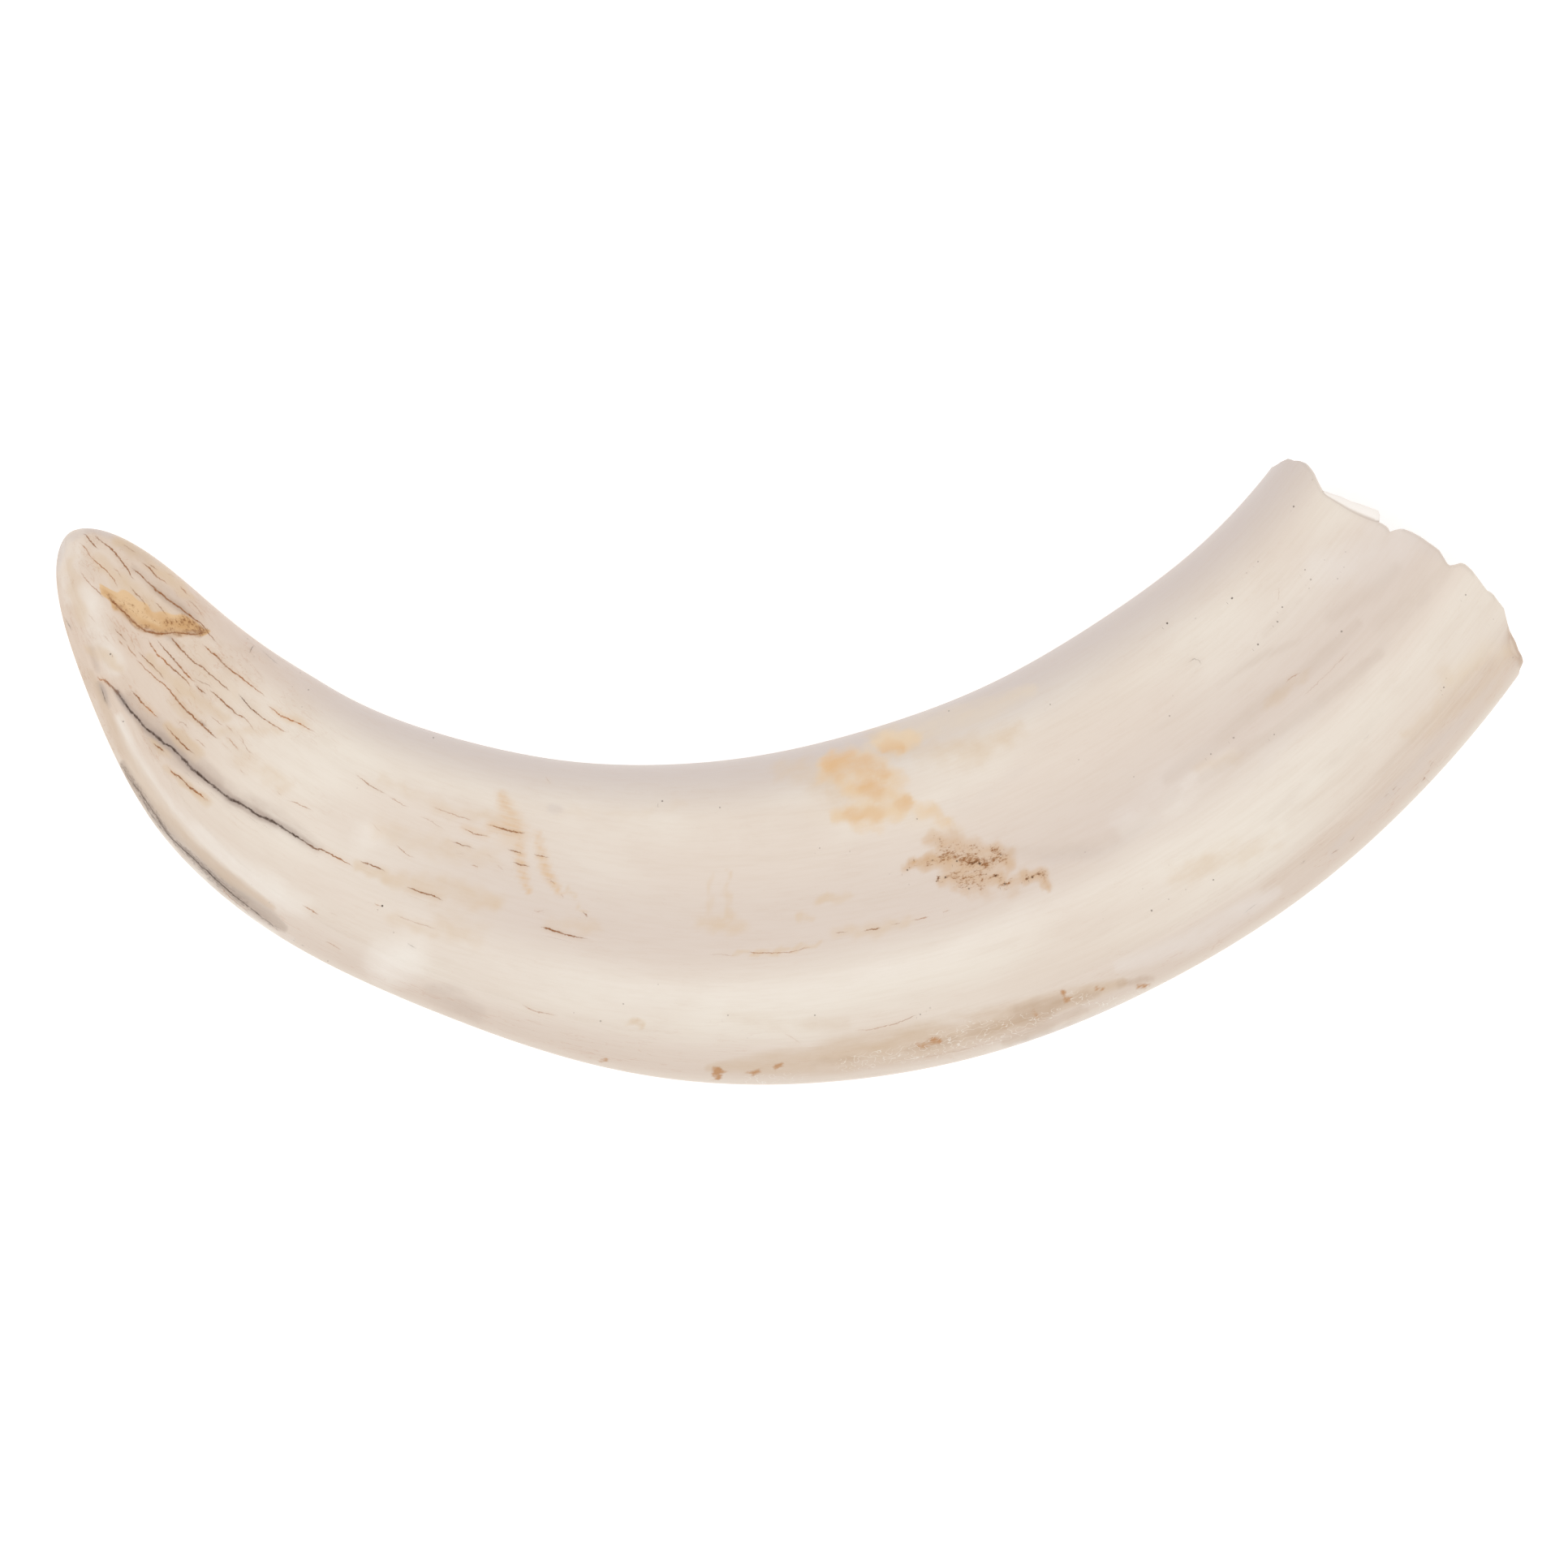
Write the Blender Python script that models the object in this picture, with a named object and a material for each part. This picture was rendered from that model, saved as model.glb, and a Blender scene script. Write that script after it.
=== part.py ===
"""A warthog tusk lying on its side, as one hollow-rooted solid.

The tusk curves in the XY plane. +X runs from the worn tip to the open root, +Y points into the
hollow of the curve, and +Z is up. The origin is under the middle of the tusk, on the surface that
it lies on. Lengths named _MM are millimetres, and the mesh is built in metres.
"""

import math

import bmesh
import bpy
import numpy as np

METRES_PER_MM = 0.001

# The centreline starts at the tip and has a heading and a breadth every 18 mm.
TIP_X_MM = -88.8
TIP_Y_MM = 29.2
LENGTH_MM = 198.0
HEADINGS_DEG = (-54.0, -55.0, -42.0, -24.0, -15.5, -5.5, 6.5, 16.5, 26.5, 35.0, 44.5, 55.0)
BREADTHS_MM = (24.75, 23.25, 27.5, 31.25, 34.25, 38.25, 41.0, 42.5, 42.5, 42.25, 40.75, 39.5)
CENTRELINE_STEP_MM = 0.5

# The nose rounds the worn tip off over this length.
NOSE_MM = 36.0
NOSE_POWER = 1.8

# The cross-section is a squarish oval, flatter than it is broad.
SQUARENESS = 2.6
TIP_DEPTH_SHARE = 0.8
ROOT_DEPTH_SHARE = 0.73

# A long furrow runs down both broad faces, a little towards the outside of the curve.
FURROW_DEPTH_MM = 1.5
UNDER_FURROW_DEPTH_MM = 1.3
FURROW_INNER_WIDTH_MM = 8.5
FURROW_OUTER_WIDTH_MM = 4.8
FURROW_START_MM = 22.0
FURROW_FULL_MM = 62.0
FURROW_TIP_SHARE = -0.48
FURROW_BODY_SHARE = -0.12
FURROW_ROOT_SHARE = 0.0

# Wear has cut a narrow facet along the outer side of the tip.
FACET_DEPTH_MM = 0.9
FACET_TILT_DEG = 32.0
FACET_END_MM = 58.0

# The tusk touches the surface at three patches, one in every arch.
FIRST_REST_MM = 38.0
REST_SPACING_MM = 70.0
REST_PRESS_MM = 0.3
ARCH_RISE_MM = 0.7

# The pulp cavity is a cone that follows the curve up from the open root.
CAVITY_DEPTH_MM = 80.0
CAVITY_POWER = 1.4
RIM_WALL_MM = 1.1
RIM_ROUNDING_MM = 0.3

# The broken rim: how far it reaches past the end of the centreline, across the mouth from the
# outside of the curve (-1) to the inside (+1).
UPPER_RIM_MM = (
    (-1.0, -3.0), (-0.9, -1.6), (-0.78, -0.1), (-0.69, 1.6), (-0.56, 2.2), (-0.36, 3.2),
    (-0.3, 3.0), (-0.24, 2.1), (-0.15, 3.0), (0.0, 3.0), (0.1, 2.4), (0.17, 1.3),
    (0.3, 1.1), (0.42, 0.9), (0.5, 1.1), (0.65, 0.6), (0.76, 1.5), (0.86, 2.2),
    (0.95, 1.5), (1.0, 0.2),
)
UNDER_RIM_MM = (
    (-1.0, -3.0), (-0.8, -1.4), (-0.6, 0.6), (-0.3, 1.4), (0.0, 1.9), (0.15, 1.0),
    (0.23, 1.8), (0.32, 2.5), (0.42, 1.7), (0.55, 0.4), (0.8, 0.7), (1.0, 0.2),
)
RIM_BLEND_MM = 14.0

# How finely the surface is divided.
SPOKES = 48
TIP_RINGS = 12
TIP_RINGS_END_MM = 20.0
BODY_RING_SPACING_MM = 4.0
CAVITY_RINGS = 14

SMOOTH_ANGLE_DEG = 50.0
IVORY_COLOUR = (0.79, 0.70, 0.61, 1.0)
IVORY_ROUGHNESS = 0.38


def natural_cubic(knots, values, wanted):
    """Read the natural cubic spline through evenly spaced knots."""
    gap = knots[1] - knots[0]
    count = len(knots)
    bends = np.zeros(count)
    system = 4.0 * np.eye(count - 2) + np.eye(count - 2, k=1) + np.eye(count - 2, k=-1)
    bends[1:-1] = np.linalg.solve(system, 6.0 * np.diff(values, 2) / gap**2)
    span = np.clip(((wanted - knots[0]) // gap).astype(int), 0, count - 2)
    after = (wanted - knots[span]) / gap
    before = 1.0 - after
    straight = before * values[span] + after * values[span + 1]
    curved = (before**3 - before) * bends[span] + (after**3 - after) * bends[span + 1]
    return straight + curved * gap**2 / 6.0


def smooth_step(value, start, end):
    """Rise from 0 at start to 1 at end, level at both."""
    share = np.clip((value - start) / (end - start), 0.0, 1.0)
    return share * share * (3.0 - 2.0 * share)


def from_stations(values, along):
    """Read a value that is given at the evenly spaced stations."""
    knots = np.linspace(0.0, LENGTH_MM, len(values))
    return natural_cubic(knots, np.array(values), np.clip(along, 0.0, LENGTH_MM))


def centreline(along):
    """Give x, y and heading in radians at distances from the tip, straight on past the end."""
    steps = np.arange(0.0, LENGTH_MM + CENTRELINE_STEP_MM, CENTRELINE_STEP_MM)
    headings = np.radians(from_stations(HEADINGS_DEG, steps))
    middles = 0.5 * (headings[1:] + headings[:-1])
    run_x = np.concatenate(([0.0], np.cumsum(np.cos(middles)))) * CENTRELINE_STEP_MM
    run_y = np.concatenate(([0.0], np.cumsum(np.sin(middles)))) * CENTRELINE_STEP_MM
    inside = np.clip(along, 0.0, LENGTH_MM)
    past = along - inside
    heading = np.radians(from_stations(HEADINGS_DEG, inside))
    x = TIP_X_MM + np.interp(inside, steps, run_x) + past * np.cos(heading)
    y = TIP_Y_MM + np.interp(inside, steps, run_y) + past * np.sin(heading)
    return x, y, heading


def half_sizes(along):
    """Give the half breadth and half depth before the nose rounds them off."""
    half_breadth = 0.5 * from_stations(BREADTHS_MM, along)
    root_share = np.clip(along / LENGTH_MM, 0.0, 1.0)
    depth_share = TIP_DEPTH_SHARE + (ROOT_DEPTH_SHARE - TIP_DEPTH_SHARE) * root_share
    return half_breadth, half_breadth * depth_share


def nose_share(along):
    """Give the share of the full section that is left near the worn tip."""
    left = np.clip(1.0 - along / NOSE_MM, 0.0, 1.0)
    return (1.0 - left**NOSE_POWER) ** (1.0 / NOSE_POWER)


def furrow(along, across, half_breadth):
    """Give the shape of the furrow across the tusk, 0 to 1."""
    body_share = smooth_step(along, FURROW_START_MM, FURROW_FULL_MM)
    root_share = smooth_step(along, FURROW_FULL_MM, LENGTH_MM)
    share = FURROW_TIP_SHARE + (FURROW_BODY_SHARE - FURROW_TIP_SHARE) * body_share
    share = share + (FURROW_ROOT_SHARE - FURROW_BODY_SHARE) * root_share
    offset = across - share * half_breadth
    width = np.where(offset > 0.0, FURROW_INNER_WIDTH_MM, FURROW_OUTER_WIDTH_MM)
    return body_share * np.exp(-((offset / width) ** 2))


def section(along, turn, scale):
    """Give across and height of the section, from its middle, at turns in radians."""
    half_breadth, half_depth = half_sizes(along)
    half_breadth = half_breadth * scale
    half_depth = half_depth * scale
    power = 2.0 / SQUARENESS
    across = half_breadth * np.sign(np.cos(turn)) * np.abs(np.cos(turn)) ** power
    height = half_depth * np.sign(np.sin(turn)) * np.abs(np.sin(turn)) ** power
    dip = furrow(along, across, half_breadth) * np.abs(np.sin(turn)) ** power * scale
    height = height - np.where(height > 0.0, FURROW_DEPTH_MM, -UNDER_FURROW_DEPTH_MM) * dip
    return across, height


def wear_facet(along, across, height):
    """Cut the facet that faces outwards and a little up near the tip."""
    tilt = math.radians(FACET_TILT_DEG)
    half_breadth, half_depth = half_sizes(along)
    nose = nose_share(along)
    support = nose * np.hypot(half_breadth * math.cos(tilt), half_depth * math.sin(tilt))
    depth = FACET_DEPTH_MM * nose * (1.0 - smooth_step(along, 0.5 * FACET_END_MM, FACET_END_MM))
    past = -across * math.cos(tilt) + height * math.sin(tilt) - (support - depth)
    cut = np.maximum(past, 0.0)
    return across + cut * math.cos(tilt), height - cut * math.sin(tilt)


def rest_lift(along):
    """Give how far the lowest line of the tusk is above the surface between its patches."""
    phase = math.pi * (along - FIRST_REST_MM) / REST_SPACING_MM
    return ARCH_RISE_MM * np.sin(phase) ** 2 - REST_PRESS_MM


def belly_depth(along):
    """Give how far the lowest line of the full section is below its middle."""
    steps = np.arange(0.0, LENGTH_MM + BODY_RING_SPACING_MM, BODY_RING_SPACING_MM)
    under_turns = np.linspace(math.pi, 2.0 * math.pi, 2 * SPOKES)
    heights = section(steps[:, None], under_turns[None, :], 1.0)[1]
    return np.interp(along, steps, -heights.min(axis=1))


def place(along, across, height):
    """Turn distances along, across and above the section's middle into points in metres."""
    x, y, heading = centreline(along)
    middle_height = belly_depth(along) + rest_lift(along)
    points = np.stack(
        (x - np.sin(heading) * across, y + np.cos(heading) * across, middle_height + height), axis=-1
    )
    return points * METRES_PER_MM


def rim_reach(turn):
    """Give how far the rim reaches past the end of the centreline, in millimetres."""
    across_share = np.sign(np.cos(turn)) * np.abs(np.cos(turn)) ** (2.0 / SQUARENESS)
    upper = np.interp(across_share, *zip(*UPPER_RIM_MM))
    under = np.interp(across_share, *zip(*UNDER_RIM_MM))
    return np.where(np.sin(turn) >= 0.0, upper, under)


def outer_ring(station, turn):
    """Give one ring of points on the outside of the tusk, never below the surface."""
    blend = smooth_step(station, LENGTH_MM - RIM_BLEND_MM, LENGTH_MM)
    along = station + rim_reach(turn) * blend
    across, height = section(along, turn, nose_share(along))
    across, height = wear_facet(along, across, height)
    points = place(along, across, height)
    points[:, 2] = np.maximum(points[:, 2], 0.0)
    return points


def cavity_ring(inward, turn):
    """Give one ring of points on the wall of the pulp cavity, inward from the rim."""
    left = 1.0 - (inward / CAVITY_DEPTH_MM) ** CAVITY_POWER
    blend = 1.0 - smooth_step(inward, 0.0, RIM_BLEND_MM)
    along = LENGTH_MM - RIM_ROUNDING_MM - inward + rim_reach(turn) * blend
    wall_share = RIM_WALL_MM / half_sizes(np.array([LENGTH_MM]))[0]
    across, height = section(along, turn, left * (1.0 - wall_share))
    return place(along, across, height)


def ring_stations():
    """List the distances from the tip of the rings on the outside."""
    tip = TIP_RINGS_END_MM * (np.arange(1, TIP_RINGS + 1) / TIP_RINGS) ** 2
    body_rings = round((LENGTH_MM - TIP_RINGS_END_MM) / BODY_RING_SPACING_MM)
    body = np.linspace(TIP_RINGS_END_MM, LENGTH_MM, body_rings + 1)[1:]
    return np.concatenate((tip, body))


def extrude_ring(mesh, edges, spoke_of, points):
    """Extrude an open ring of edges and put each new vertex at its spoke's point."""
    made = bmesh.ops.extrude_edge_only(mesh, edges=edges)["geom"]
    for vertex in made:
        if isinstance(vertex, bmesh.types.BMVert):
            vertex.co = points[vertex[spoke_of]]
    return [edge for edge in made if isinstance(edge, bmesh.types.BMEdge) and edge.is_boundary]


def close_ring(mesh, edges, point):
    """Draw a ring together into one vertex."""
    vertices = sorted({vertex for edge in edges for vertex in edge.verts}, key=lambda v: v.index)
    bmesh.ops.pointmerge(mesh, verts=vertices, merge_co=point)


def build_tusk_mesh():
    """Grow the skin from the tip to the rim, then down into the cavity."""
    mesh = bmesh.new()
    spoke_of = mesh.verts.layers.int.new("spoke")
    turn = np.arange(SPOKES) * 2.0 * math.pi / SPOKES
    vertices = bmesh.ops.create_circle(mesh, segments=SPOKES, radius=METRES_PER_MM)["verts"]
    first = outer_ring(0.0, turn)
    for spoke, vertex in enumerate(vertices):
        vertex[spoke_of] = spoke
        vertex.co = first[spoke]
    tip_edges = list(mesh.edges)
    edges = tip_edges
    for station in ring_stations():
        edges = extrude_ring(mesh, edges, spoke_of, outer_ring(station, turn))
    for inward in CAVITY_DEPTH_MM * np.arange(CAVITY_RINGS) / CAVITY_RINGS:
        edges = extrude_ring(mesh, edges, spoke_of, cavity_ring(inward, turn))
    mesh.verts.index_update()
    close_ring(mesh, edges, cavity_ring(CAVITY_DEPTH_MM, turn)[0])
    mesh.verts.index_update()
    close_ring(mesh, [edge for edge in tip_edges if edge.is_valid], first[0])
    bmesh.ops.recalc_face_normals(mesh, faces=list(mesh.faces))
    return mesh


def ivory_material():
    """Make the plain ivory of the whole tusk."""
    material = bpy.data.materials.new("tusk_ivory")
    material.use_nodes = True
    shader = material.node_tree.nodes["Principled BSDF"]
    shader.inputs["Base Color"].default_value = IVORY_COLOUR
    shader.inputs["Roughness"].default_value = IVORY_ROUGHNESS
    shader.inputs["Metallic"].default_value = 0.0
    return material


def build_tusk():
    """Make the tusk's object, the only solid of the part."""
    grown = build_tusk_mesh()
    mesh = bpy.data.meshes.new("tusk")
    grown.to_mesh(mesh)
    grown.free()
    mesh.materials.append(ivory_material())
    mesh.shade_smooth()
    mesh.set_sharp_from_angle(angle=math.radians(SMOOTH_ANGLE_DEG))
    tusk = bpy.data.objects.new("tusk", mesh)
    bpy.context.collection.objects.link(tusk)
    return tusk


def main():
    """Clear the scene and build the tusk."""
    for old in list(bpy.data.objects):
        bpy.data.objects.remove(old, do_unlink=True)
    build_tusk()


main()
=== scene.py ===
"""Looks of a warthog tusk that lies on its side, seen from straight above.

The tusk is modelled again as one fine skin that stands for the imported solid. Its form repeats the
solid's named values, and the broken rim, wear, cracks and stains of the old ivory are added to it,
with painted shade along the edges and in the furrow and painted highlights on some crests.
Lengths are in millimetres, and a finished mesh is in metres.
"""

import logging
import math
from dataclasses import dataclass
from enum import Enum
from itertools import pairwise
from typing import ClassVar, NamedTuple

import bpy
import numpy as np
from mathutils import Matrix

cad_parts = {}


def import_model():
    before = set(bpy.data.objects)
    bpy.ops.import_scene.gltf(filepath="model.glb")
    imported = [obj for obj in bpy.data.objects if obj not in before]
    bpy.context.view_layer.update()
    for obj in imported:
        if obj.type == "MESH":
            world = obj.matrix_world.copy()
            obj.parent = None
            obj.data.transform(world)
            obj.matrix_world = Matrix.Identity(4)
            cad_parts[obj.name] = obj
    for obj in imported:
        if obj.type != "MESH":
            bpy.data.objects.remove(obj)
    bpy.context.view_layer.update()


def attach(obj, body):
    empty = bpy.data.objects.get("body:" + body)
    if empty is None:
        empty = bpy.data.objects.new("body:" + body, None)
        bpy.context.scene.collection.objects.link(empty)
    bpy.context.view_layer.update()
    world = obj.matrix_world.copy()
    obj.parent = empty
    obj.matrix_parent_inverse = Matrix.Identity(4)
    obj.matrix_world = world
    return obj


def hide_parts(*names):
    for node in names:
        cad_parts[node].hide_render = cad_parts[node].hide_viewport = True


LOG = logging.getLogger("tusk")
METRES = 0.001
VECTOR_SIZE = 3

Colour = tuple[float, float, float, float]
Points = tuple[tuple[float, float], ...]


def colour(red: int, green: int, blue: int) -> Colour:
    """Turn a screen colour, 0 to 255 a channel, into the linear colour that a shader takes."""
    linear = [((part / 255 + 0.055) / 1.055) ** 2.4 for part in (red, green, blue)]
    return (*linear, 1.0)


def smooth_step(value: np.ndarray, start: float, end: float) -> np.ndarray:
    """Rise from 0 at start to 1 at end, level at both."""
    share = np.clip((value - start) / (end - start), 0.0, 1.0)
    return share * share * (3.0 - 2.0 * share)


def natural_cubic(knots: np.ndarray, values: np.ndarray, wanted: np.ndarray) -> np.ndarray:
    """Read the natural cubic spline through evenly spaced knots.

    Args:
        knots: where the values are given, evenly spaced.
        values: the value at each knot.
        wanted: where to read it.

    Returns:
        The spline's value at each wanted place.
    """
    gap = knots[1] - knots[0]
    count = len(knots)
    bends = np.zeros(count)
    system = 4.0 * np.eye(count - 2) + np.eye(count - 2, k=1) + np.eye(count - 2, k=-1)
    bends[1:-1] = np.linalg.solve(system, 6.0 * np.diff(values, 2) / gap**2)
    span = np.clip(((wanted - knots[0]) // gap).astype(int), 0, count - 2)
    after = (wanted - knots[span]) / gap
    before = 1.0 - after
    straight = before * values[span] + after * values[span + 1]
    curved = (before**3 - before) * bends[span] + (after**3 - after) * bends[span + 1]
    return straight + curved * gap**2 / 6.0


@dataclass(frozen=True)
class Viewpoint:
    """Where the camera stands above the tusk, and what it sees from there."""

    x: float = -0.6
    y: float = -1.6
    middle_height: float = 15.0
    distance: float = 1200.0
    view_width: float = 193.2
    sensor: float = 36.0
    clip_start: float = 0.05
    clip_end: float = 20.0

    def seen(self, points: np.ndarray) -> np.ndarray:
        """Give the plan position, at the middle height, where the camera sees each point.

        Args:
            points: places in space, one to a row.

        Returns:
            The plan positions, one to a row.
        """
        closeness = self.distance / (self.distance - (points[:, 2] - self.middle_height))
        centre = np.array((self.x, self.y))
        return centre + (points[:, :2] - centre) * closeness[:, None]

    def build(self) -> bpy.types.Object:
        """Add the camera, looking straight down.

        Returns:
            The camera's object, set as the scene's camera.
        """
        bpy.ops.object.camera_add(
            location=(
                self.x * METRES,
                self.y * METRES,
                (self.middle_height + self.distance) * METRES,
            ),
            rotation=(0.0, 0.0, 0.0),
        )
        camera = bpy.context.object
        camera.name = "overhead_camera"
        camera.data.sensor_width = self.sensor
        camera.data.lens = self.sensor * self.distance / self.view_width
        camera.data.clip_start = self.clip_start
        camera.data.clip_end = self.clip_end
        bpy.context.scene.camera = camera
        return camera


@dataclass(frozen=True)
class TuskForm:
    """The tusk's form: a curved centreline, the section along it and the hollow in its root."""

    tip_x: float = -88.8
    tip_y: float = 29.2
    length: float = 198.0
    headings_deg: tuple[float, ...] = (
        -54.0, -55.0, -42.0, -24.0, -15.5, -5.5, 6.5, 16.5, 26.5, 35.0, 44.5, 55.0,
    )
    breadths: tuple[float, ...] = (
        24.75, 23.25, 27.5, 31.25, 34.25, 38.25, 41.0, 42.5, 42.5, 42.25, 40.75, 39.5,
    )
    centreline_step: float = 0.5
    support_step: float = 4.0
    support_turns: int = 96
    nose: float = 36.0
    nose_power: float = 1.8
    squareness: float = 2.6
    tip_depth_share: float = 0.8
    root_depth_share: float = 0.73
    furrow_depth: float = 1.5
    under_furrow_depth: float = 1.3
    furrow_inner_width: float = 8.5
    furrow_outer_width: float = 4.8
    furrow_start: float = 22.0
    furrow_full: float = 62.0
    furrow_shares: tuple[float, float, float] = (-0.48, -0.12, 0.0)
    facet_depth: float = 0.9
    facet_tilt_deg: float = 32.0
    facet_end: float = 58.0
    first_rest: float = 38.0
    rest_spacing: float = 70.0
    rest_press: float = 0.3
    arch_rise: float = 0.7
    cavity_depth: float = 80.0
    cavity_power: float = 1.4
    rim_wall: float = 1.1
    rim_rounding: float = 0.3
    rim_blend: float = 14.0
    upper_rim: Points = (
        (-19.7, -3.6), (-19.2, -2.3), (-18.6, -2.0), (-17.8, -1.8), (-16.8, -1.3), (-15.4, -0.8),
        (-14.3, -0.1), (-13.1, 0.9), (-12.0, 1.15), (-11.0, 1.5), (-10.25, 1.35), (-9.0, 1.75),
        (-7.4, 2.25), (-6.2, 2.45), (-5.6, 2.25), (-5.3, 1.85), (-4.8, 1.25), (-4.25, 1.25),
        (-3.5, 1.6), (-2.5, 2.05), (0.3, 2.1), (1.6, 1.95), (2.8, 1.65), (3.4, 1.0), (3.8, 0.4),
        (4.4, 0.75), (5.35, 0.7), (6.3, 0.3), (7.3, 0.05), (8.4, -0.15), (9.5, -0.3),
        (11.8, -0.4), (12.9, -0.4), (13.7, -0.05), (14.8, 0.55), (15.9, 1.25), (17.1, 1.65),
        (17.9, 1.5), (18.25, 1.2), (18.9, 1.15), (19.35, 0.4), (19.7, -0.6),
    )
    under_rim: Points = (
        (-19.7, -3.6), (-15.8, -2.6), (-11.8, -0.8), (-5.9, 0.4), (0.0, 0.6), (5.9, -0.9),
        (11.8, -1.8), (15.8, -0.8), (19.7, -0.6),
    )
    ledge: Points = (
        (5.6, 0.0), (5.9, 0.6), (6.15, 1.25), (6.6, 1.55), (7.7, 1.5), (8.85, 1.4), (10.0, 1.15),
        (11.7, 0.9), (13.0, 0.5), (13.6, 0.0),
    )
    ledge_start: float = 0.05
    ledge_full: float = 0.45
    ledge_fade: float = 1.0
    ledge_depth: float = 7.0

    def from_stations(self, values: tuple[float, ...], along: np.ndarray) -> np.ndarray:
        """Read a value that is given at evenly spaced stations."""
        knots = np.linspace(0.0, self.length, len(values))
        return natural_cubic(knots, np.array(values), np.clip(along, 0.0, self.length))

    def centreline(self, along: np.ndarray) -> tuple[np.ndarray, np.ndarray, np.ndarray]:
        """Follow the centreline, and its last heading past the end.

        Args:
            along: distances from the tip.

        Returns:
            x, y and the heading in radians.
        """
        step = self.centreline_step
        steps = np.arange(0.0, self.length + step, step)
        headings = np.radians(self.from_stations(self.headings_deg, steps))
        middles = 0.5 * (headings[1:] + headings[:-1])
        run_x = np.concatenate(([0.0], np.cumsum(np.cos(middles)))) * step
        run_y = np.concatenate(([0.0], np.cumsum(np.sin(middles)))) * step
        inside = np.clip(along, 0.0, self.length)
        past = along - inside
        heading = np.radians(self.from_stations(self.headings_deg, inside))
        x = self.tip_x + np.interp(inside, steps, run_x) + past * np.cos(heading)
        y = self.tip_y + np.interp(inside, steps, run_y) + past * np.sin(heading)
        return x, y, heading

    def half_sizes(self, along: np.ndarray) -> tuple[np.ndarray, np.ndarray]:
        """Give the half breadth and half depth before the nose rounds them off.

        Args:
            along: distances from the tip.

        Returns:
            The half breadths and the half depths.
        """
        half_breadth = 0.5 * self.from_stations(self.breadths, along)
        root_share = np.clip(along / self.length, 0.0, 1.0)
        depth_share = self.tip_depth_share
        depth_share = depth_share + (self.root_depth_share - depth_share) * root_share
        return half_breadth, half_breadth * depth_share

    def nose_share(self, along: np.ndarray) -> np.ndarray:
        """Give the share of the full section that is left near the worn tip."""
        left = np.clip(1.0 - along / self.nose, 0.0, 1.0)
        return (1.0 - left**self.nose_power) ** (1.0 / self.nose_power)

    def furrow(self, along: np.ndarray, across: np.ndarray, half: np.ndarray) -> np.ndarray:
        """Give the shape of the furrow across the tusk, 0 to 1.

        Args:
            along: distances from the tip.
            across: distances across the tusk.
            half: the half breadth at each place.

        Returns:
            The share of the furrow's full depth.
        """
        tip, body, root = self.furrow_shares
        body_share = smooth_step(along, self.furrow_start, self.furrow_full)
        root_share = smooth_step(along, self.furrow_full, self.length)
        share = tip + (body - tip) * body_share + (root - body) * root_share
        offset = across - share * half
        width = np.where(offset > 0.0, self.furrow_inner_width, self.furrow_outer_width)
        return body_share * np.exp(-((offset / width) ** 2))

    def section(
        self, along: np.ndarray, turn: np.ndarray, scale: np.ndarray
    ) -> tuple[np.ndarray, np.ndarray]:
        """Put points on the squarish oval, with its furrows.

        Args:
            along: distances from the tip.
            turn: angles round the section, from the inside of the curve towards the top.
            scale: the share of the full section.

        Returns:
            The distances across the tusk and above the section's middle.
        """
        half_breadth, half_depth = self.half_sizes(along)
        power = self.squareness
        reach = np.abs(np.cos(turn)) ** power + np.abs(np.sin(turn)) ** power
        reach = reach ** (-1.0 / power)
        across = half_breadth * scale * reach * np.cos(turn)
        lift = reach * np.sin(turn)
        dip = self.furrow(along, across, half_breadth * scale) * np.abs(lift) * scale
        dip = np.where(lift > 0.0, self.furrow_depth, -self.under_furrow_depth) * dip
        return across, half_depth * scale * lift - dip

    def wear_facet(
        self, along: np.ndarray, across: np.ndarray, height: np.ndarray, scale: np.ndarray
    ) -> tuple[np.ndarray, np.ndarray]:
        """Cut the facet that faces outwards and a little up near the tip.

        Args:
            along: distances from the tip.
            across: distances across the tusk.
            height: heights above the section's middle.
            scale: the share of the full section.

        Returns:
            The distances across and the heights after the cut.
        """
        tilt = math.radians(self.facet_tilt_deg)
        half_breadth, half_depth = self.half_sizes(along)
        support = scale * np.hypot(half_breadth * math.cos(tilt), half_depth * math.sin(tilt))
        fade = 1.0 - smooth_step(along, 0.5 * self.facet_end, self.facet_end)
        past = -across * math.cos(tilt) + height * math.sin(tilt)
        past = past - (support - self.facet_depth * scale * fade)
        cut = np.maximum(past, 0.0)
        return across + cut * math.cos(tilt), height - cut * math.sin(tilt)

    def middle_height(self, along: np.ndarray) -> np.ndarray:
        """Give the height of the section's middle above the surface that the tusk lies on.

        Args:
            along: distances from the tip.

        Returns:
            The heights.
        """
        steps = np.arange(0.0, self.length + self.support_step, self.support_step)
        under = np.linspace(math.pi, 2.0 * math.pi, self.support_turns)
        heights = self.section(steps[:, None], under[None, :], np.ones((1, 1)))[1]
        phase = math.pi * (along - self.first_rest) / self.rest_spacing
        lift = self.arch_rise * np.sin(phase) ** 2 - self.rest_press
        return np.interp(along, steps, -heights.min(axis=1)) + lift

    def rim_across(self, turn: np.ndarray) -> np.ndarray:
        """Give how far across the tusk each angle meets the rim.

        Args:
            turn: angles round the section.

        Returns:
            The distances across the tusk.
        """
        power = self.squareness
        reach = np.abs(np.cos(turn)) ** power + np.abs(np.sin(turn)) ** power
        return 0.5 * self.breadths[-1] * np.cos(turn) * reach ** (-1.0 / power)

    def ledge_reach(self, turn: np.ndarray) -> np.ndarray:
        """Give how far the wall's inner layer sticks out past its outer layer."""
        return np.interp(self.rim_across(turn), *zip(*self.ledge)) * (np.sin(turn) > 0.0)

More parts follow.
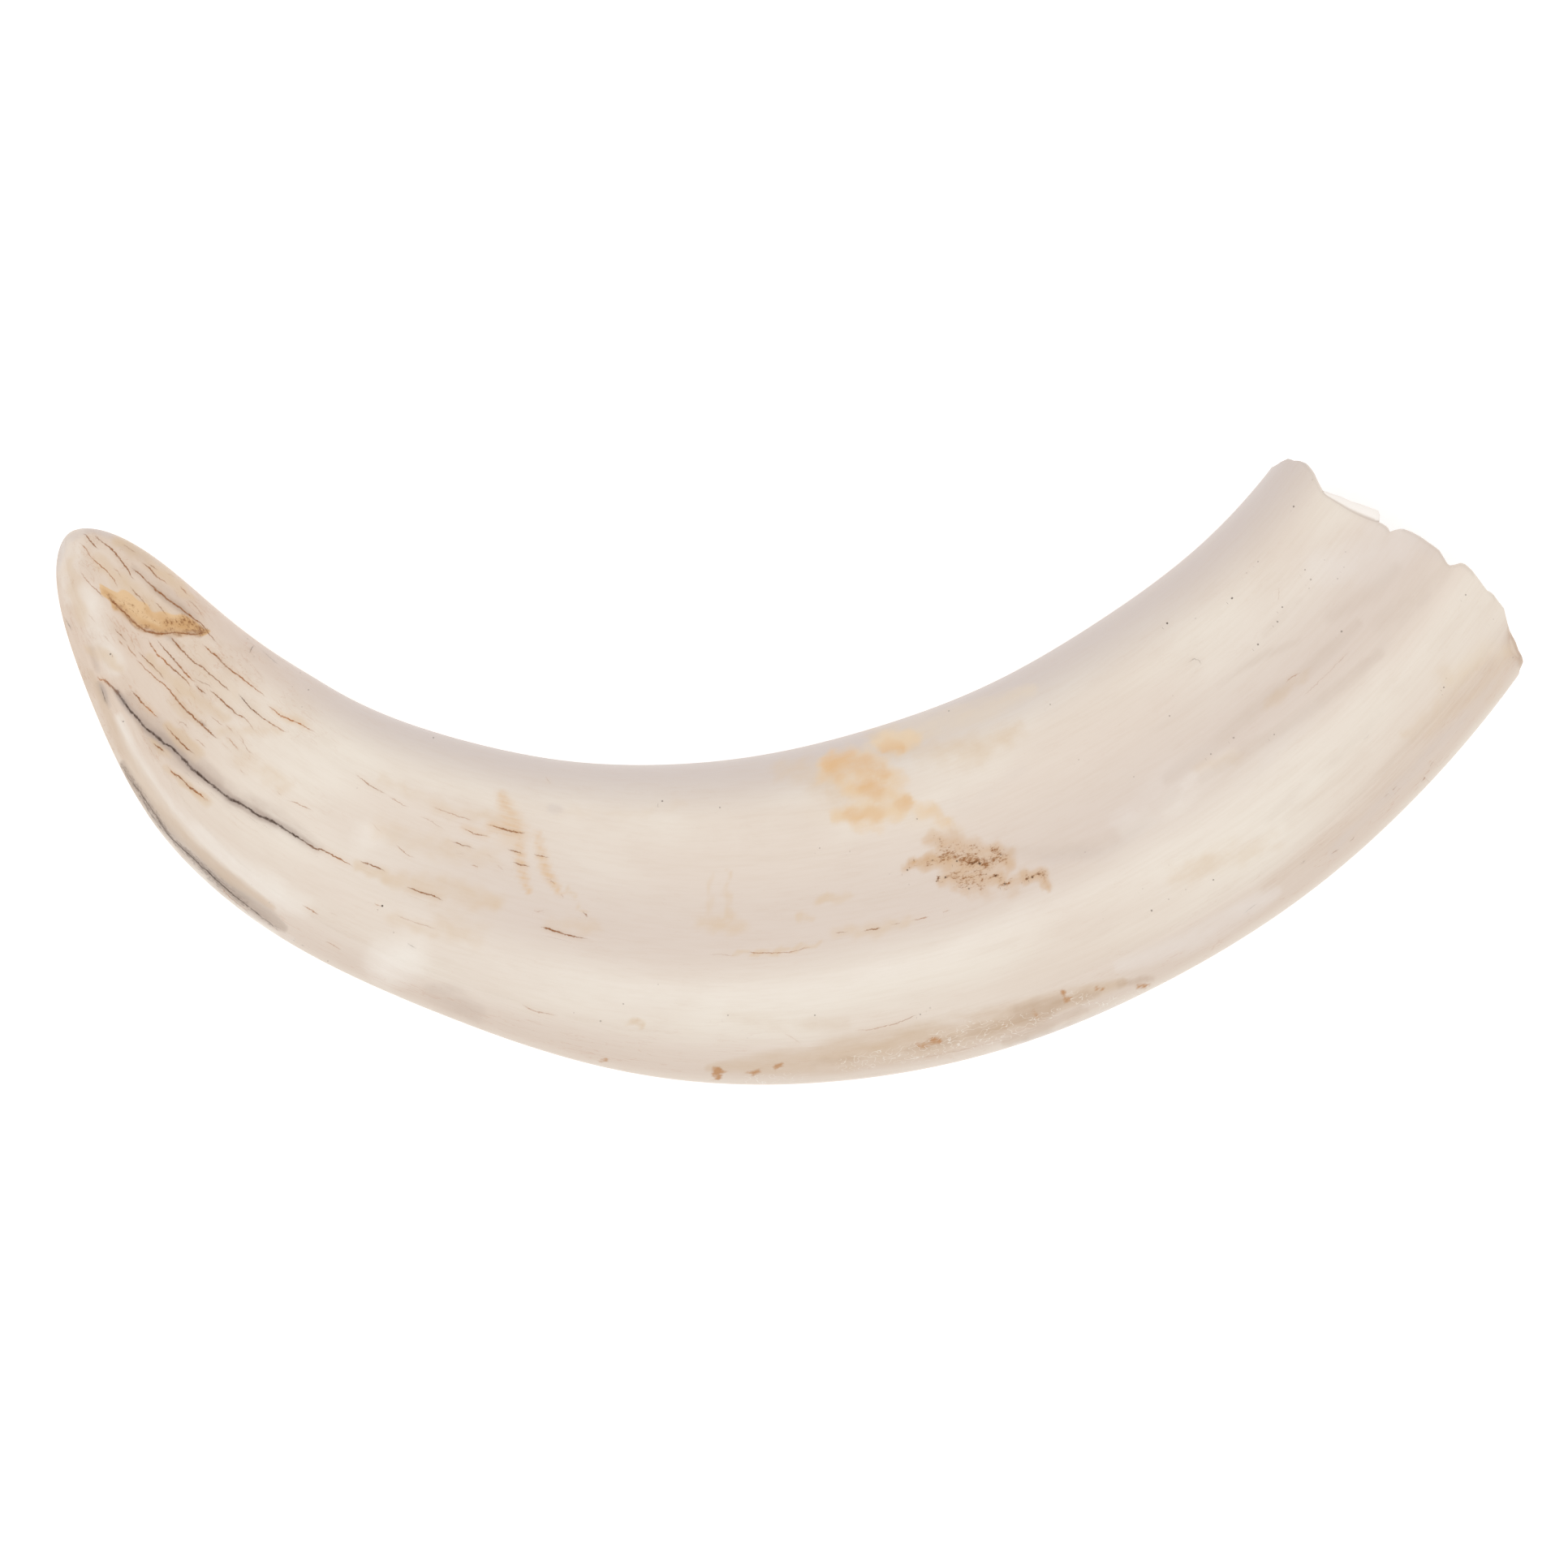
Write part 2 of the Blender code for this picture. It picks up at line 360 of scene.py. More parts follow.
    def broken_share(self, path: np.ndarray) -> np.ndarray:
        """Give how much of each place is the wall's broken face, which fades inwards.

        Args:
            path: how far each place is from the tip, along the skin.

        Returns:
            The share of the broken face, 0 to 1.
        """
        end = self.length
        out = smooth_step(path, end + self.ledge_start, end + self.ledge_full)
        return out * (1.0 - smooth_step(path, end + self.ledge_fade, end + self.ledge_depth))

    def rim_reach(self, turn: np.ndarray) -> np.ndarray:
        """Give how far the broken rim reaches past the end of the centreline.

        Args:
            turn: angles round the section.

        Returns:
            The reach, which is less than 0 where the rim is broken back.
        """
        across = self.rim_across(turn)
        upper = np.interp(across, *zip(*self.upper_rim))
        under = np.interp(across, *zip(*self.under_rim))
        return np.where(np.sin(turn) >= 0.0, upper, under)

    def place(self, along: np.ndarray, across: np.ndarray, height: np.ndarray) -> np.ndarray:
        """Bend straight coordinates along the centreline, into x, y and z.

        Args:
            along: distances from the tip.
            across: distances across the tusk.
            height: heights above the section's middle.

        Returns:
            The places in space, one to a row.
        """
        x, y, heading = self.centreline(along)
        lifted = self.middle_height(along) + height
        return np.stack(
            (x - np.sin(heading) * across, y + np.cos(heading) * across, lifted), axis=-1
        )


class Tone(Enum):
    """How a crack is stained, from 0 for grey to 1 for rust."""

    GREY = 0.0
    BROWN = 0.6
    TAN = 0.85
    RUST = 1.0


@dataclass(frozen=True)
class Trace:
    """A line over the tusk in plan, as the camera sees it."""

    points: Points

    def measure(self, seen: np.ndarray) -> tuple[np.ndarray, np.ndarray, float]:
        """Measure plan positions against the line, which runs straight on past its ends.

        Args:
            seen: plan positions, one to a row.

        Returns:
            The distance from the line, signed by its side, the distance run along it, and the
            line's whole length.
        """
        points = np.array(self.points)
        nearest = np.full(len(seen), np.inf)
        signed = np.zeros(len(seen))
        run = np.zeros(len(seen))
        done = 0.0
        last = len(points) - 2
        for index, (start, end) in enumerate(pairwise(points)):
            step = end - start
            size = float(np.hypot(*step))
            offset = seen - start
            low = -np.inf if index == 0 else 0.0
            high = np.inf if index == last else 1.0
            share = np.clip(offset @ step / size**2, low, high)
            gap = np.hypot(*(offset - share[:, None] * step).T)
            side = np.sign(step[0] * offset[:, 1] - step[1] * offset[:, 0])
            nearer = gap < nearest
            nearest = np.where(nearer, gap, nearest)
            signed = np.where(nearer, side * gap, signed)
            run = np.where(nearer, done + share * size, run)
            done += size
        return signed, run, done


@dataclass(frozen=True)
class Crack(Trace):
    """A crack, with its tone and strength at even steps along it."""

    tones: tuple[Tone, ...]
    strengths: tuple[float, ...]
    longest_taper: ClassVar[float] = 1.2
    taper_share: ClassVar[float] = 0.3
    overrun: ClassVar[float] = 0.3
    full_share: ClassVar[float] = 0.7

    def paint(self, seen: np.ndarray, reach: float) -> tuple[np.ndarray, np.ndarray, np.ndarray]:
        """Give the signed distance, tone and strength of the crack at each plan position.

        Args:
            seen: plan positions, one to a row.
            reach: how far from its line the crack is stored.

        Returns:
            The signed distances, the tones and the strengths.
        """
        signed, run, whole = self.measure(seen)
        share = np.clip(run / whole, 0.0, 1.0)
        tones = [tone.value for tone in self.tones]
        tone = np.interp(share, np.linspace(0.0, 1.0, len(tones)), tones)
        steps = np.linspace(0.0, 1.0, len(self.strengths))
        strength = np.interp(share, steps, self.strengths)
        taper = min(self.longest_taper, self.taper_share * whole)
        strength = strength * smooth_step(run, -self.overrun, taper)
        strength = strength * (1.0 - smooth_step(run, whole - taper, whole + self.overrun))
        beside = np.abs(signed)
        strength = strength * (1.0 - smooth_step(beside, self.full_share * reach, reach))
        return signed, tone, strength


@dataclass(frozen=True)
class Smear(Trace):
    """A soft band along a line, with its half width at even steps along it."""

    half_widths: tuple[float, ...]
    strength: float = 1.0

    def paint(self, seen: np.ndarray) -> np.ndarray:
        """Give how strong the smear is at each plan position, 0 to 1.

        Args:
            seen: plan positions, one to a row.

        Returns:
            The strength at each position.
        """
        signed, run, whole = self.measure(seen)
        steps = np.linspace(0.0, whole, len(self.half_widths))
        half_width = np.interp(run, steps, self.half_widths)
        past = np.maximum(np.maximum(run - whole, -run), 0.0)
        return self.strength * (1.0 - smooth_step(np.hypot(signed, past) / half_width, 0.0, 1.0))


class Speck(NamedTuple):
    """A pit or spot in plan, as the camera sees it."""

    x: float
    y: float
    radius: float
    dark: float


class Break(Enum):
    """How a stain breaks up over the ivory."""

    SOLID = "solid"
    MOTTLED = "mottled"
    GRANULAR = "granular"
    STREAKED = "streaked"
    CURLED = "curled"
    WASHED = "washed"


@dataclass(frozen=True)
class Stain:
    """A stain: its colour, cover, way of breaking up, smears, rise and how ruffled it is."""

    name: str
    tint: Colour
    cover: float
    broken: Break
    smears: tuple[Smear, ...]
    rise: float = 0.0
    ruffle: float = 0.0
    wave_rates: ClassVar[tuple[float, float]] = (2.1, 2.4)
    wave_bends: ClassVar[tuple[float, float]] = (1.4, 1.2)
    bend_rates: ClassVar[tuple[float, float]] = (1.3, 1.7)

    def paint(self, seen: np.ndarray) -> np.ndarray:
        """Give how strong the stain is at each plan position, 0 to 1.

        Args:
            seen: plan positions, one to a row.

        Returns:
            The strength at each position.
        """
        bends = self.wave_bends * np.sin(self.bend_rates * seen)
        waves = np.sin(self.wave_rates * seen[:, ::-1] + bends)
        ruffled = seen + self.ruffle * waves
        return np.max([smear.paint(ruffled) for smear in self.smears], axis=0)


GREY, TAN, BROWN, RUST = Tone.GREY, Tone.TAN, Tone.BROWN, Tone.RUST


def smears(*rows: tuple) -> tuple[Smear, ...]:
    """Make smears from rows of points, half widths and, where it isn't 1, strength."""
    return tuple(Smear(*row) for row in rows)


# The cracks, in the order in which they are laid: points, tones and strengths.
CRACK_ROWS = (
    (((-84.8, 11.9), (-84.4, 11.3), (-82.8, 9.8), (-81.5, 7.8), (-79.6, 5.8), (-79.1, 5.1),
      (-78.4, 4.7), (-77.0, 3.4), (-76.3, 3.1), (-75.0, 1.9), (-73.8, 0.5), (-68.8, -3.5),
      (-67.3, -4.1), (-65.2, -5.6), (-64.4, -5.8), (-62.8, -6.7), (-58.2, -9.7), (-57.6, -9.6),
      (-53.5, -11.9)), (RUST, GREY, GREY, GREY, GREY, GREY, GREY, GREY, GREY, BROWN, RUST), (0.57,
      0.79, 1.0, 0.89, 0.84, 0.79, 1.0, 0.89, 0.73, 1.0, 0.95, 0.76, 0.82, 1.0, 0.76, 0.73, 0.89,
      0.73, 0.65, 0.63, 0.63, 0.57, 0.52, 0.34)),
    (((-85.2, 11.6), (-84.9, 11.2), (-84.2, 11.3)), (RUST,), (0.57,)),
    (((-84.9, 10.8), (-83.9, 8.0)), (GREY,), (0.34, 0.4, 0.23)),
    (((-82.2, 0.2), (-80.0, -2.5), (-76.2, -8.2), (-68.2, -15.5), (-62.7, -19.7)), (GREY,),
      (0.3, 0.39, 0.43, 0.39, 0.43, 0.43, 0.52, 0.52, 0.52, 0.47, 0.39, 0.26)),
    (((-80.0, -3.0), (-78.8, -5.0), (-76.6, -8.2)), (GREY,), (0.34,)),
    (((-70.4, -14.0), (-69.0, -15.4), (-66.2, -17.6)), (TAN,), (0.34,)),
    (((-47.3, -14.2), (-45.5, -14.9), (-43.7, -15.4), (-42.4, -16.0)), (BROWN,),
      (0.57, 0.63, 0.52)),
    (((-30.8, -19.1), (-26.6, -20.4), (-24.4, -20.8)), (BROWN,), (0.59, 0.68, 0.49, 0.29)),
    (((-87.1, 29.3), (-86.7, 29.1), (-85.7, 27.9), (-84.9, 27.3)), (BROWN,), (0.52,)),
    (((-85.9, 29.3), (-83.2, 27.1), (-81.6, 25.1), (-80.9, 23.9), (-80.3, 23.3)), (BROWN,),
      (0.34, 0.49, 0.59, 0.59, 0.29)),
    (((-87.7, 28.4), (-86.6, 27.4), (-86.0, 26.3), (-84.2, 24.8), (-83.2, 23.7), (-82.6, 22.4)),
      (TAN,), (0.38, 0.41, 0.48, 0.38)),
    (((-81.4, 25.3), (-80.1, 24.4), (-78.5, 22.8), (-76.7, 21.3), (-72.2, 18.0), (-71.4, 16.8),
      (-70.2, 15.5)), (BROWN,), (0.39, 0.54, 0.64, 0.76, 0.71, 0.61, 0.49, 0.49, 0.29)),
    (((-80.1, 26.0), (-78.8, 25.0), (-77.8, 23.9), (-76.2, 22.8)), (BROWN, BROWN, RUST),
      (0.29, 0.52, 0.65, 0.46, 0.46, 0.34)),
    (((-79.0, 25.6), (-77.7, 24.7)), (BROWN,), (0.4,)),
    (((-76.7, 24.4), (-76.0, 24.1), (-75.6, 23.7)), (TAN,), (0.29,)),
    (((-75.1, 22.8), (-74.1, 21.7)), (TAN,), (0.41,)),
    (((-74.3, 21.3), (-72.9, 20.1), (-71.8, 18.4)), (TAN,), (0.34,)),
    (((-87.4, 25.0), (-87.0, 24.1), (-86.0, 22.8), (-85.3, 22.3), (-84.3, 21.1)), (TAN, TAN, BROWN),
      (0.29, 0.38, 0.48)),
    (((-81.3, 23.0), (-80.4, 21.8), (-79.8, 21.3), (-78.9, 20.0)), (BROWN,), (0.4,)),
    (((-78.2, 21.0), (-76.5, 19.0)), (BROWN,), (0.4,)),
    (((-82.2, 28.0), (-80.3, 26.8)), (BROWN,), (0.34,)),
    (((-83.3, 25.2), (-82.6, 24.4), (-82.2, 23.7)), (TAN,), (0.29,)),
    (((-84.1, 21.7), (-80.1, 17.8), (-79.4, 17.3), (-77.5, 16.9), (-75.4, 17.1), (-73.6, 16.8),
      (-71.7, 17.1)), (BROWN,), (0.46, 0.63, 0.79, 0.79, 0.68, 0.63, 0.73)),
    (((-76.4, 16.8), (-75.3, 15.4), (-73.1, 13.2), (-72.4, 12.9), (-68.6, 9.6)), (BROWN,),
      (0.49, 0.67, 0.59, 0.54, 0.54, 0.39)),
    (((-68.1, 9.8), (-66.5, 8.0), (-65.2, 6.8), (-62.2, 4.8), (-61.4, 4.6)), (GREY, BROWN, RUST),
      (0.34, 0.52, 0.52, 0.46, 0.52, 0.23)),
    (((-72.5, 15.8), (-70.6, 14.2), (-69.2, 12.8), (-64.1, 8.9)), (TAN, BROWN, TAN, TAN),
      (0.46, 0.63, 0.63, 0.57, 0.46, 0.29)),
    (((-64.6, 8.4), (-62.4, 6.7), (-60.1, 5.8), (-58.1, 4.5)), (TAN, RUST, RUST, TAN),
      (0.34, 0.57, 0.63, 0.48, 0.29)),
    (((-79.2, 16.5), (-77.8, 14.3), (-77.2, 13.9), (-76.6, 13.2), (-74.5, 11.4), (-73.4, 10.0)),
      (BROWN, RUST, BROWN, TAN), (0.38, 0.52, 0.57, 0.57, 0.34)),
    (((-78.2, 16.5), (-74.1, 11.8), (-73.5, 11.2), (-72.8, 10.8)), (BROWN, BROWN, RUST),
      (0.34, 0.48, 0.57, 0.63, 0.57)),
    (((-73.4, 11.4), (-71.6, 10.6), (-70.9, 10.1)), (BROWN,), (0.37,)),
    (((-73.2, 10.7), (-72.2, 9.7), (-71.7, 9.4)), (BROWN,), (0.48,)),
    (((-71.6, 10.2), (-67.8, 6.8), (-67.1, 6.6), (-66.5, 6.0), (-65.5, 4.4)), (BROWN, BROWN, TAN),
      (0.46, 0.6, 0.57, 0.34, 0.23)),
    (((-80.4, 14.9), (-78.2, 12.8), (-76.6, 11.0)), (BROWN,), (0.46, 0.48, 0.29)),
    (((-81.7, 15.8), (-80.8, 14.4), (-80.2, 13.8)), (TAN,), (0.41,)),
    (((-80.7, 14.0), (-78.1, 11.5), (-76.8, 10.5), (-74.2, 7.4), (-70.6, 4.1), (-70.1, 3.8)),
      (TAN, TAN, BROWN, BROWN), (0.38, 0.41, 0.48, 0.63, 0.65, 0.67, 0.4)),
    (((-75.9, 10.7), (-74.8, 9.3)), (TAN,), (0.25,)),
    (((-81.2, 10.2), (-79.7, 8.4), (-77.5, 6.3)), (BROWN, BROWN, RUST, RUST),
      (0.4, 0.63, 0.63, 0.46)),
    (((-77.2, 6.1), (-75.9, 4.5), (-74.1, 2.7), (-73.0, 1.9)), (TAN, BROWN, BROWN),
      (0.29, 0.4, 0.63, 0.63, 0.34)),
    (((-83.2, 17.7), (-81.5, 15.8)), (BROWN,), (0.41,)),
    (((-82.7, 16.3), (-81.8, 15.3)), (TAN,), (0.34,)),
    (((-84.5, 16.9), (-83.7, 15.9)), (TAN,), (0.25,)),
    (((-86.4, 19.4), (-85.3, 18.2)), (TAN,), (0.25,)),
    (((-89.2, 18.8), (-88.3, 17.2)), (GREY,), (0.32,)),
    (((-71.3, 6.8), (-69.5, 5.4)), (TAN,), (0.34,)),
    (((-69.4, 5.7), (-68.4, 4.7)), (TAN,), (0.29,)),
    (((-73.3, 4.1), (-71.7, 2.8)), (TAN,), (0.32,)),
    (((-69.5, 4.3), (-68.6, 3.6), (-67.7, 2.4)), (RUST,), (0.34,)),
    (((-67.9, 4.6), (-67.4, 4.0), (-66.7, 2.5), (-65.8, 1.8)), (TAN,), (0.3, 0.32, 0.34, 0.23)),
    (((-75.4, 5.6), (-75.0, 6.0), (-74.6, 6.0), (-73.8, 5.0)), (BROWN,), (0.3,)),
    (((-67.7, 14.6), (-66.5, 13.3)), (TAN,), (0.23,)),
    (((-66.3, 13.3), (-65.1, 11.8), (-64.8, 10.9)), (TAN,), (0.23,)),
    (((-65.1, 15.0), (-62.8, 13.0)), (GREY,), (0.28,)),
    (((-66.4, 14.6), (-66.0, 15.4)), (GREY,), (0.41,)),
    (((-78.4, 3.5), (-76.9, 2.3)), (BROWN,), (0.52,)),
    (((-76.7, 0.9), (-75.8, -0.4), (-75.0, -0.8), (-73.8, -2.0), (-72.4, -3.0), (-71.7, -3.7)),
      (RUST, BROWN, BROWN, RUST), (0.34, 0.57, 0.63, 0.63, 0.69, 0.63)),
    (((-63.1, -2.5), (-62.5, -3.0)), (TAN,), (0.25,)),
    (((-62.2, -3.5), (-60.2, -4.1), (-58.4, -5.1)), (TAN,), (0.25, 0.41, 0.34)),
    (((-67.7, 0.4), (-67.0, -0.6)), (TAN,), (0.25,)),
    (((-60.1, -16.4), (-57.8, -17.8)), (TAN,), (0.41,)),
    (((-56.7, -17.4), (-55.6, -17.9)), (TAN,), (0.2,)),
    (((-57.2, -21.0), (-56.4, -21.3), (-55.1, -22.1)), (TAN,), (0.39,)),
    (((-51.2, -16.3), (-50.2, -16.7)), (RUST,), (0.35,)),
    (((-48.8, -17.5), (-46.9, -18.4), (-43.2, -19.5)), (TAN,), (0.27,)),
    (((-47.1, -21.2), (-45.8, -21.9)), (GREY,), (0.29,)),
    (((-29.9, -13.3), (-29.3, -13.3)), (RUST,), (0.31,)),
    (((-29.4, -13.5), (-28.9, -13.9)), (BROWN,), (0.41,)),
    (((-28.1, -15.2), (-27.8, -15.6)), (TAN,), (0.29,)),
    (((-25.4, -17.4), (-24.8, -17.9)), (BROWN,), (0.41,)),
    (((-31.6, -17.2), (-31.0, -17.3), (-30.1, -17.2)), (TAN,), (0.31,)),
    (((-33.2, -28.5), (-31.4, -29.6), (-28.2, -30.2)), (TAN,), (0.35,)),
    (((7.8, -32.0), (9.8, -31.9), (11.8, -31.5), (13.8, -30.9), (15.3, -30.2), (16.2, -30.0)),
      (TAN, TAN, BROWN), (0.23, 0.35, 0.35)),
    (((55.8, -17.8), (57.2, -16.6), (57.9, -16.3)), (GREY,), (0.23,)),
    (((61.1, 10.6), (61.4, 11.1), (62.6, 11.9), (63.2, 12.1)), (TAN,), (0.29, 0.34, 0.27)),
    (((60.3, 22.8), (60.4, 22.0), (60.3, 20.8)), (TAN,), (0.22,)),
    (((70.7, 3.8), (71.7, 4.7)), (GREY,), (0.23,)),
    (((14.8, -35.6), (20.8, -34.5), (26.8, -32.9)), (TAN,), (0.18, 0.24, 0.18)),
    (((-10.1, -22.6), (-6.2, -22.7)), (TAN,), (0.25,)),
    (((-5.4, -22.4), (-0.4, -22.4), (3.2, -21.6)), (TAN,), (0.39, 0.41, 0.23)),
    (((5.6, -20.0), (7.4, -19.8)), (BROWN,), (0.34,)),
    (((9.2, -19.7), (11.4, -19.3)), (BROWN,), (0.48, 0.52)),
    (((12.6, -18.9), (13.8, -18.7)), (BROWN,), (0.32,)),
    (((15.2, -18.4), (17.4, -17.9)), (TAN,), (0.39,)),
    (((18.8, -17.4), (20.0, -17.1)), (TAN,), (0.29,)),
    (((-0.9, -32.2), (0.6, -32.9), (1.6, -33.8)), (TAN,), (0.25,)),
    (((49.1, 13.3), (49.8, 13.8), (50.6, 13.6), (50.8, 12.9)), (GREY,), (0.28,)),
    (((63.2, 9.0), (66.8, 12.4), (69.2, 15.0)), (TAN,), (0.23,)),
    (((-53.6, -0.2), (-51.6, -1.8), (-49.4, -3.0)), (TAN, BROWN), (0.34, 0.41, 0.34)),
    (((-49.4, -3.0), (-47.4, -4.3), (-46.6, -4.5)), (TAN,), (0.3, 0.34, 0.25)),
    (((-44.2, -4.3), (-40.9, -5.5), (-38.5, -6.2)), (TAN,), (0.25, 0.37, 0.34, 0.28)),
    (((-37.6, -6.4), (-34.0, -7.5), (-32.1, -7.7)), (TAN, BROWN, BROWN),
      (0.3, 0.46, 0.65, 0.63, 0.34)),
    (((-45.8, -5.6), (-44.4, -6.0), (-42.2, -7.4)), (TAN,), (0.23, 0.3, 0.21)),
    (((-40.6, -6.8), (-38.6, -7.8), (-36.5, -8.1)), (TAN, BROWN), (0.3, 0.41, 0.39, 0.23)),
    (((-41.8, -8.6), (-38.4, -9.7)), (BROWN,), (0.34, 0.48, 0.39, 0.23)),
    (((-48.6, -8.8), (-47.8, -9.7), (-46.9, -10.4), (-45.8, -10.8)), (TAN,), (0.25, 0.37, 0.25)),
    (((-53.0, -11.0), (-49.5, -12.4)), (BROWN,), (0.57, 0.63, 0.57, 0.41)),
    (((-39.2, -11.6), (-38.1, -11.9)), (TAN,), (0.34,)),
    (((-51.4, -6.4), (-50.2, -7.6)), (TAN,), (0.21,)),
    (((-34.8, -9.6), (-32.6, -10.3)), (BROWN,), (0.39, 0.48, 0.34)),
    (((-31.6, -10.2), (-29.3, -10.8)), (BROWN,), (0.41, 0.48, 0.23)),
    (((-34.3, -11.2), (-31.6, -11.9)), (BROWN,), (0.41, 0.53, 0.39)),
    (((-41.2, -10.0), (-39.8, -10.4)), (TAN,), (0.18,)),
    (((-37.2, -10.2), (-36.6, -10.7)), (TAN,), (0.21,)),
    (((-36.0, -11.5), (-35.2, -12.3)), (TAN,), (0.23,)),
    (((-30.0, -0.7), (-29.4, -1.6)), (RUST,), (0.25,)),
    (((78.0, -1.3), (78.5, -0.7)), (BROWN,), (0.57,)),
    (((79.0, 0.6), (79.4, 1.1)), (BROWN,), (0.48,)),
    (((74.2, -2.5), (75.0, -1.8)), (BROWN,), (0.34,)),
    (((66.8, -10.3), (67.8, -9.6)), (BROWN,), (0.41,)),
    (((68.9, -8.9), (70.0, -7.8)), (BROWN,), (0.3,)),
    (((73.2, -3.4), (74.2, -2.6)), (BROWN,), (0.28,)),
    (((62.8, -11.6), (64.0, -10.8)), (GREY,), (0.23,)),
    (((77.0, -2.6), (77.8, -1.6)), (TAN,), (0.23,)),
)
CRACKS = tuple(Crack(*row) for row in CRACK_ROWS)

# Pits and spots: x, y, radius and how dark they are.
SPECK_ROWS = (
    (23.5, -11.4, 0.23, 0.7), (-50.1, -16.6, 0.187, 0.85), (19.3, -13.1, 0.187, 0.7),
    (46.6, 18.2, 0.187, 0.72), (26.6, -13.9, 0.187, 0.59), (30.0, -13.1, 0.187, 0.59),
    (54.6, 21.3, 0.202, 0.64), (20.7, -11.1, 0.173, 0.59), (14.6, -12.2, 0.158, 0.59),
    (-15.6, -3.7, 0.173, 0.64), (22.2, -14.5, 0.173, 0.52), (-83.6, 14.4, 0.173, 0.59),
    (62.2, 32.6, 0.173, 0.59), (57.8, 15.6, 0.173, 0.59), (68.1, 17.2, 0.187, 0.51),
    (44.7, -17.2, 0.173, 0.55), (26.1, -10.3, 0.144, 0.52), (60.2, 18.4, 0.173, 0.51),
    (60.8, 20.2, 0.144, 0.59), (-82.0, 6.1, 0.158, 0.51), (52.3, -13.4, 0.158, 0.51),
    (17.7, -11.0, 0.158, 0.42), (80.7, 10.3, 0.144, 0.55), (17.4, -29.2, 0.186, 0.27),
    (-43.8, 4.1, 0.144, 0.51), (-23.2, -30.8, 0.173, 0.42), (64.3, 23.6, 0.173, 0.42),
    (54.8, 4.1, 0.173, 0.42), (3.2, -30.1, 0.144, 0.47), (16.2, -30.0, 0.144, 0.47),
    (15.4, -11.0, 0.144, 0.39), (83.4, 21.7, 0.144, 0.47), (52.0, 2.1, 0.158, 0.42),
    (-8.5, -4.5, 0.13, 0.51), (67.6, 23.7, 0.149, 0.31), (-20.4, -28.7, 0.144, 0.42),
    (-59.2, 10.0, 0.144, 0.42), (-7.5, -30.1, 0.144, 0.42), (57.8, 25.8, 0.144, 0.42),
    (63.6, 24.8, 0.144, 0.42), (59.8, 4.5, 0.144, 0.42), (46.9, 6.8, 0.144, 0.42),
    (18.6, -8.4, 0.144, 0.35), (56.4, 24.4, 0.136, 0.31), (42.5, -0.7, 0.136, 0.31),
    (46.8, -15.8, 0.136, 0.31), (19.7, 7.4, 0.115, 0.51), (50.1, 18.8, 0.149, 0.27),
    (89.2, 14.0, 0.149, 0.27), (48.9, -14.6, 0.149, 0.27), (-60.2, 12.1, 0.161, 0.24),
    (-48.7, -19.9, 0.124, 0.31), (-16.1, -26.3, 0.124, 0.31), (-26.5, -29.8, 0.124, 0.31),
    (3.8, -9.5, 0.13, 0.42), (7.5, -9.9, 0.124, 0.31), (15.8, -5.9, 0.13, 0.42),
    (14.8, -14.0, 0.124, 0.25), (32.2, 8.2, 0.13, 0.42), (35.7, 1.4, 0.124, 0.31),
    (68.4, 25.1, 0.124, 0.31), (-66.7, 16.3, 0.136, 0.27), (-64.0, -16.2, 0.149, 0.24),
    (-60.0, 7.9, 0.112, 0.31), (64.5, 35.9, 0.112, 0.31), (-56.8, -23.4, 0.115, 0.42),
    (64.1, 22.5, 0.124, 0.27), (68.6, 27.0, 0.124, 0.27), (66.0, 26.0, 0.124, 0.27),
    (86.8, 18.7, 0.124, 0.27), (81.0, 11.4, 0.124, 0.27), (36.5, -10.0, 0.124, 0.27),
    (-78.8, 20.4, 0.112, 0.27), (-53.2, -2.1, 0.112, 0.27), (43.6, -14.5, 0.124, 0.24),
    (47.3, 9.3, 0.136, 0.2), (-65.9, 14.1, 0.099, 0.27), (80.5, 9.4, 0.099, 0.27),
    (-5.1, -32.9, 0.112, 0.24), (12.4, -12.7, 0.124, 0.2), (-66.2, -14.0, 0.099, 0.24),
    (-61.2, 10.4, 0.099, 0.24), (38.7, -18.2, 0.124, 0.17), (46.8, -11.6, 0.124, 0.17),
    (-51.8, -16.2, 0.093, 0.2),
)
SPECKS = tuple(Speck(*row) for row in SPECK_ROWS)
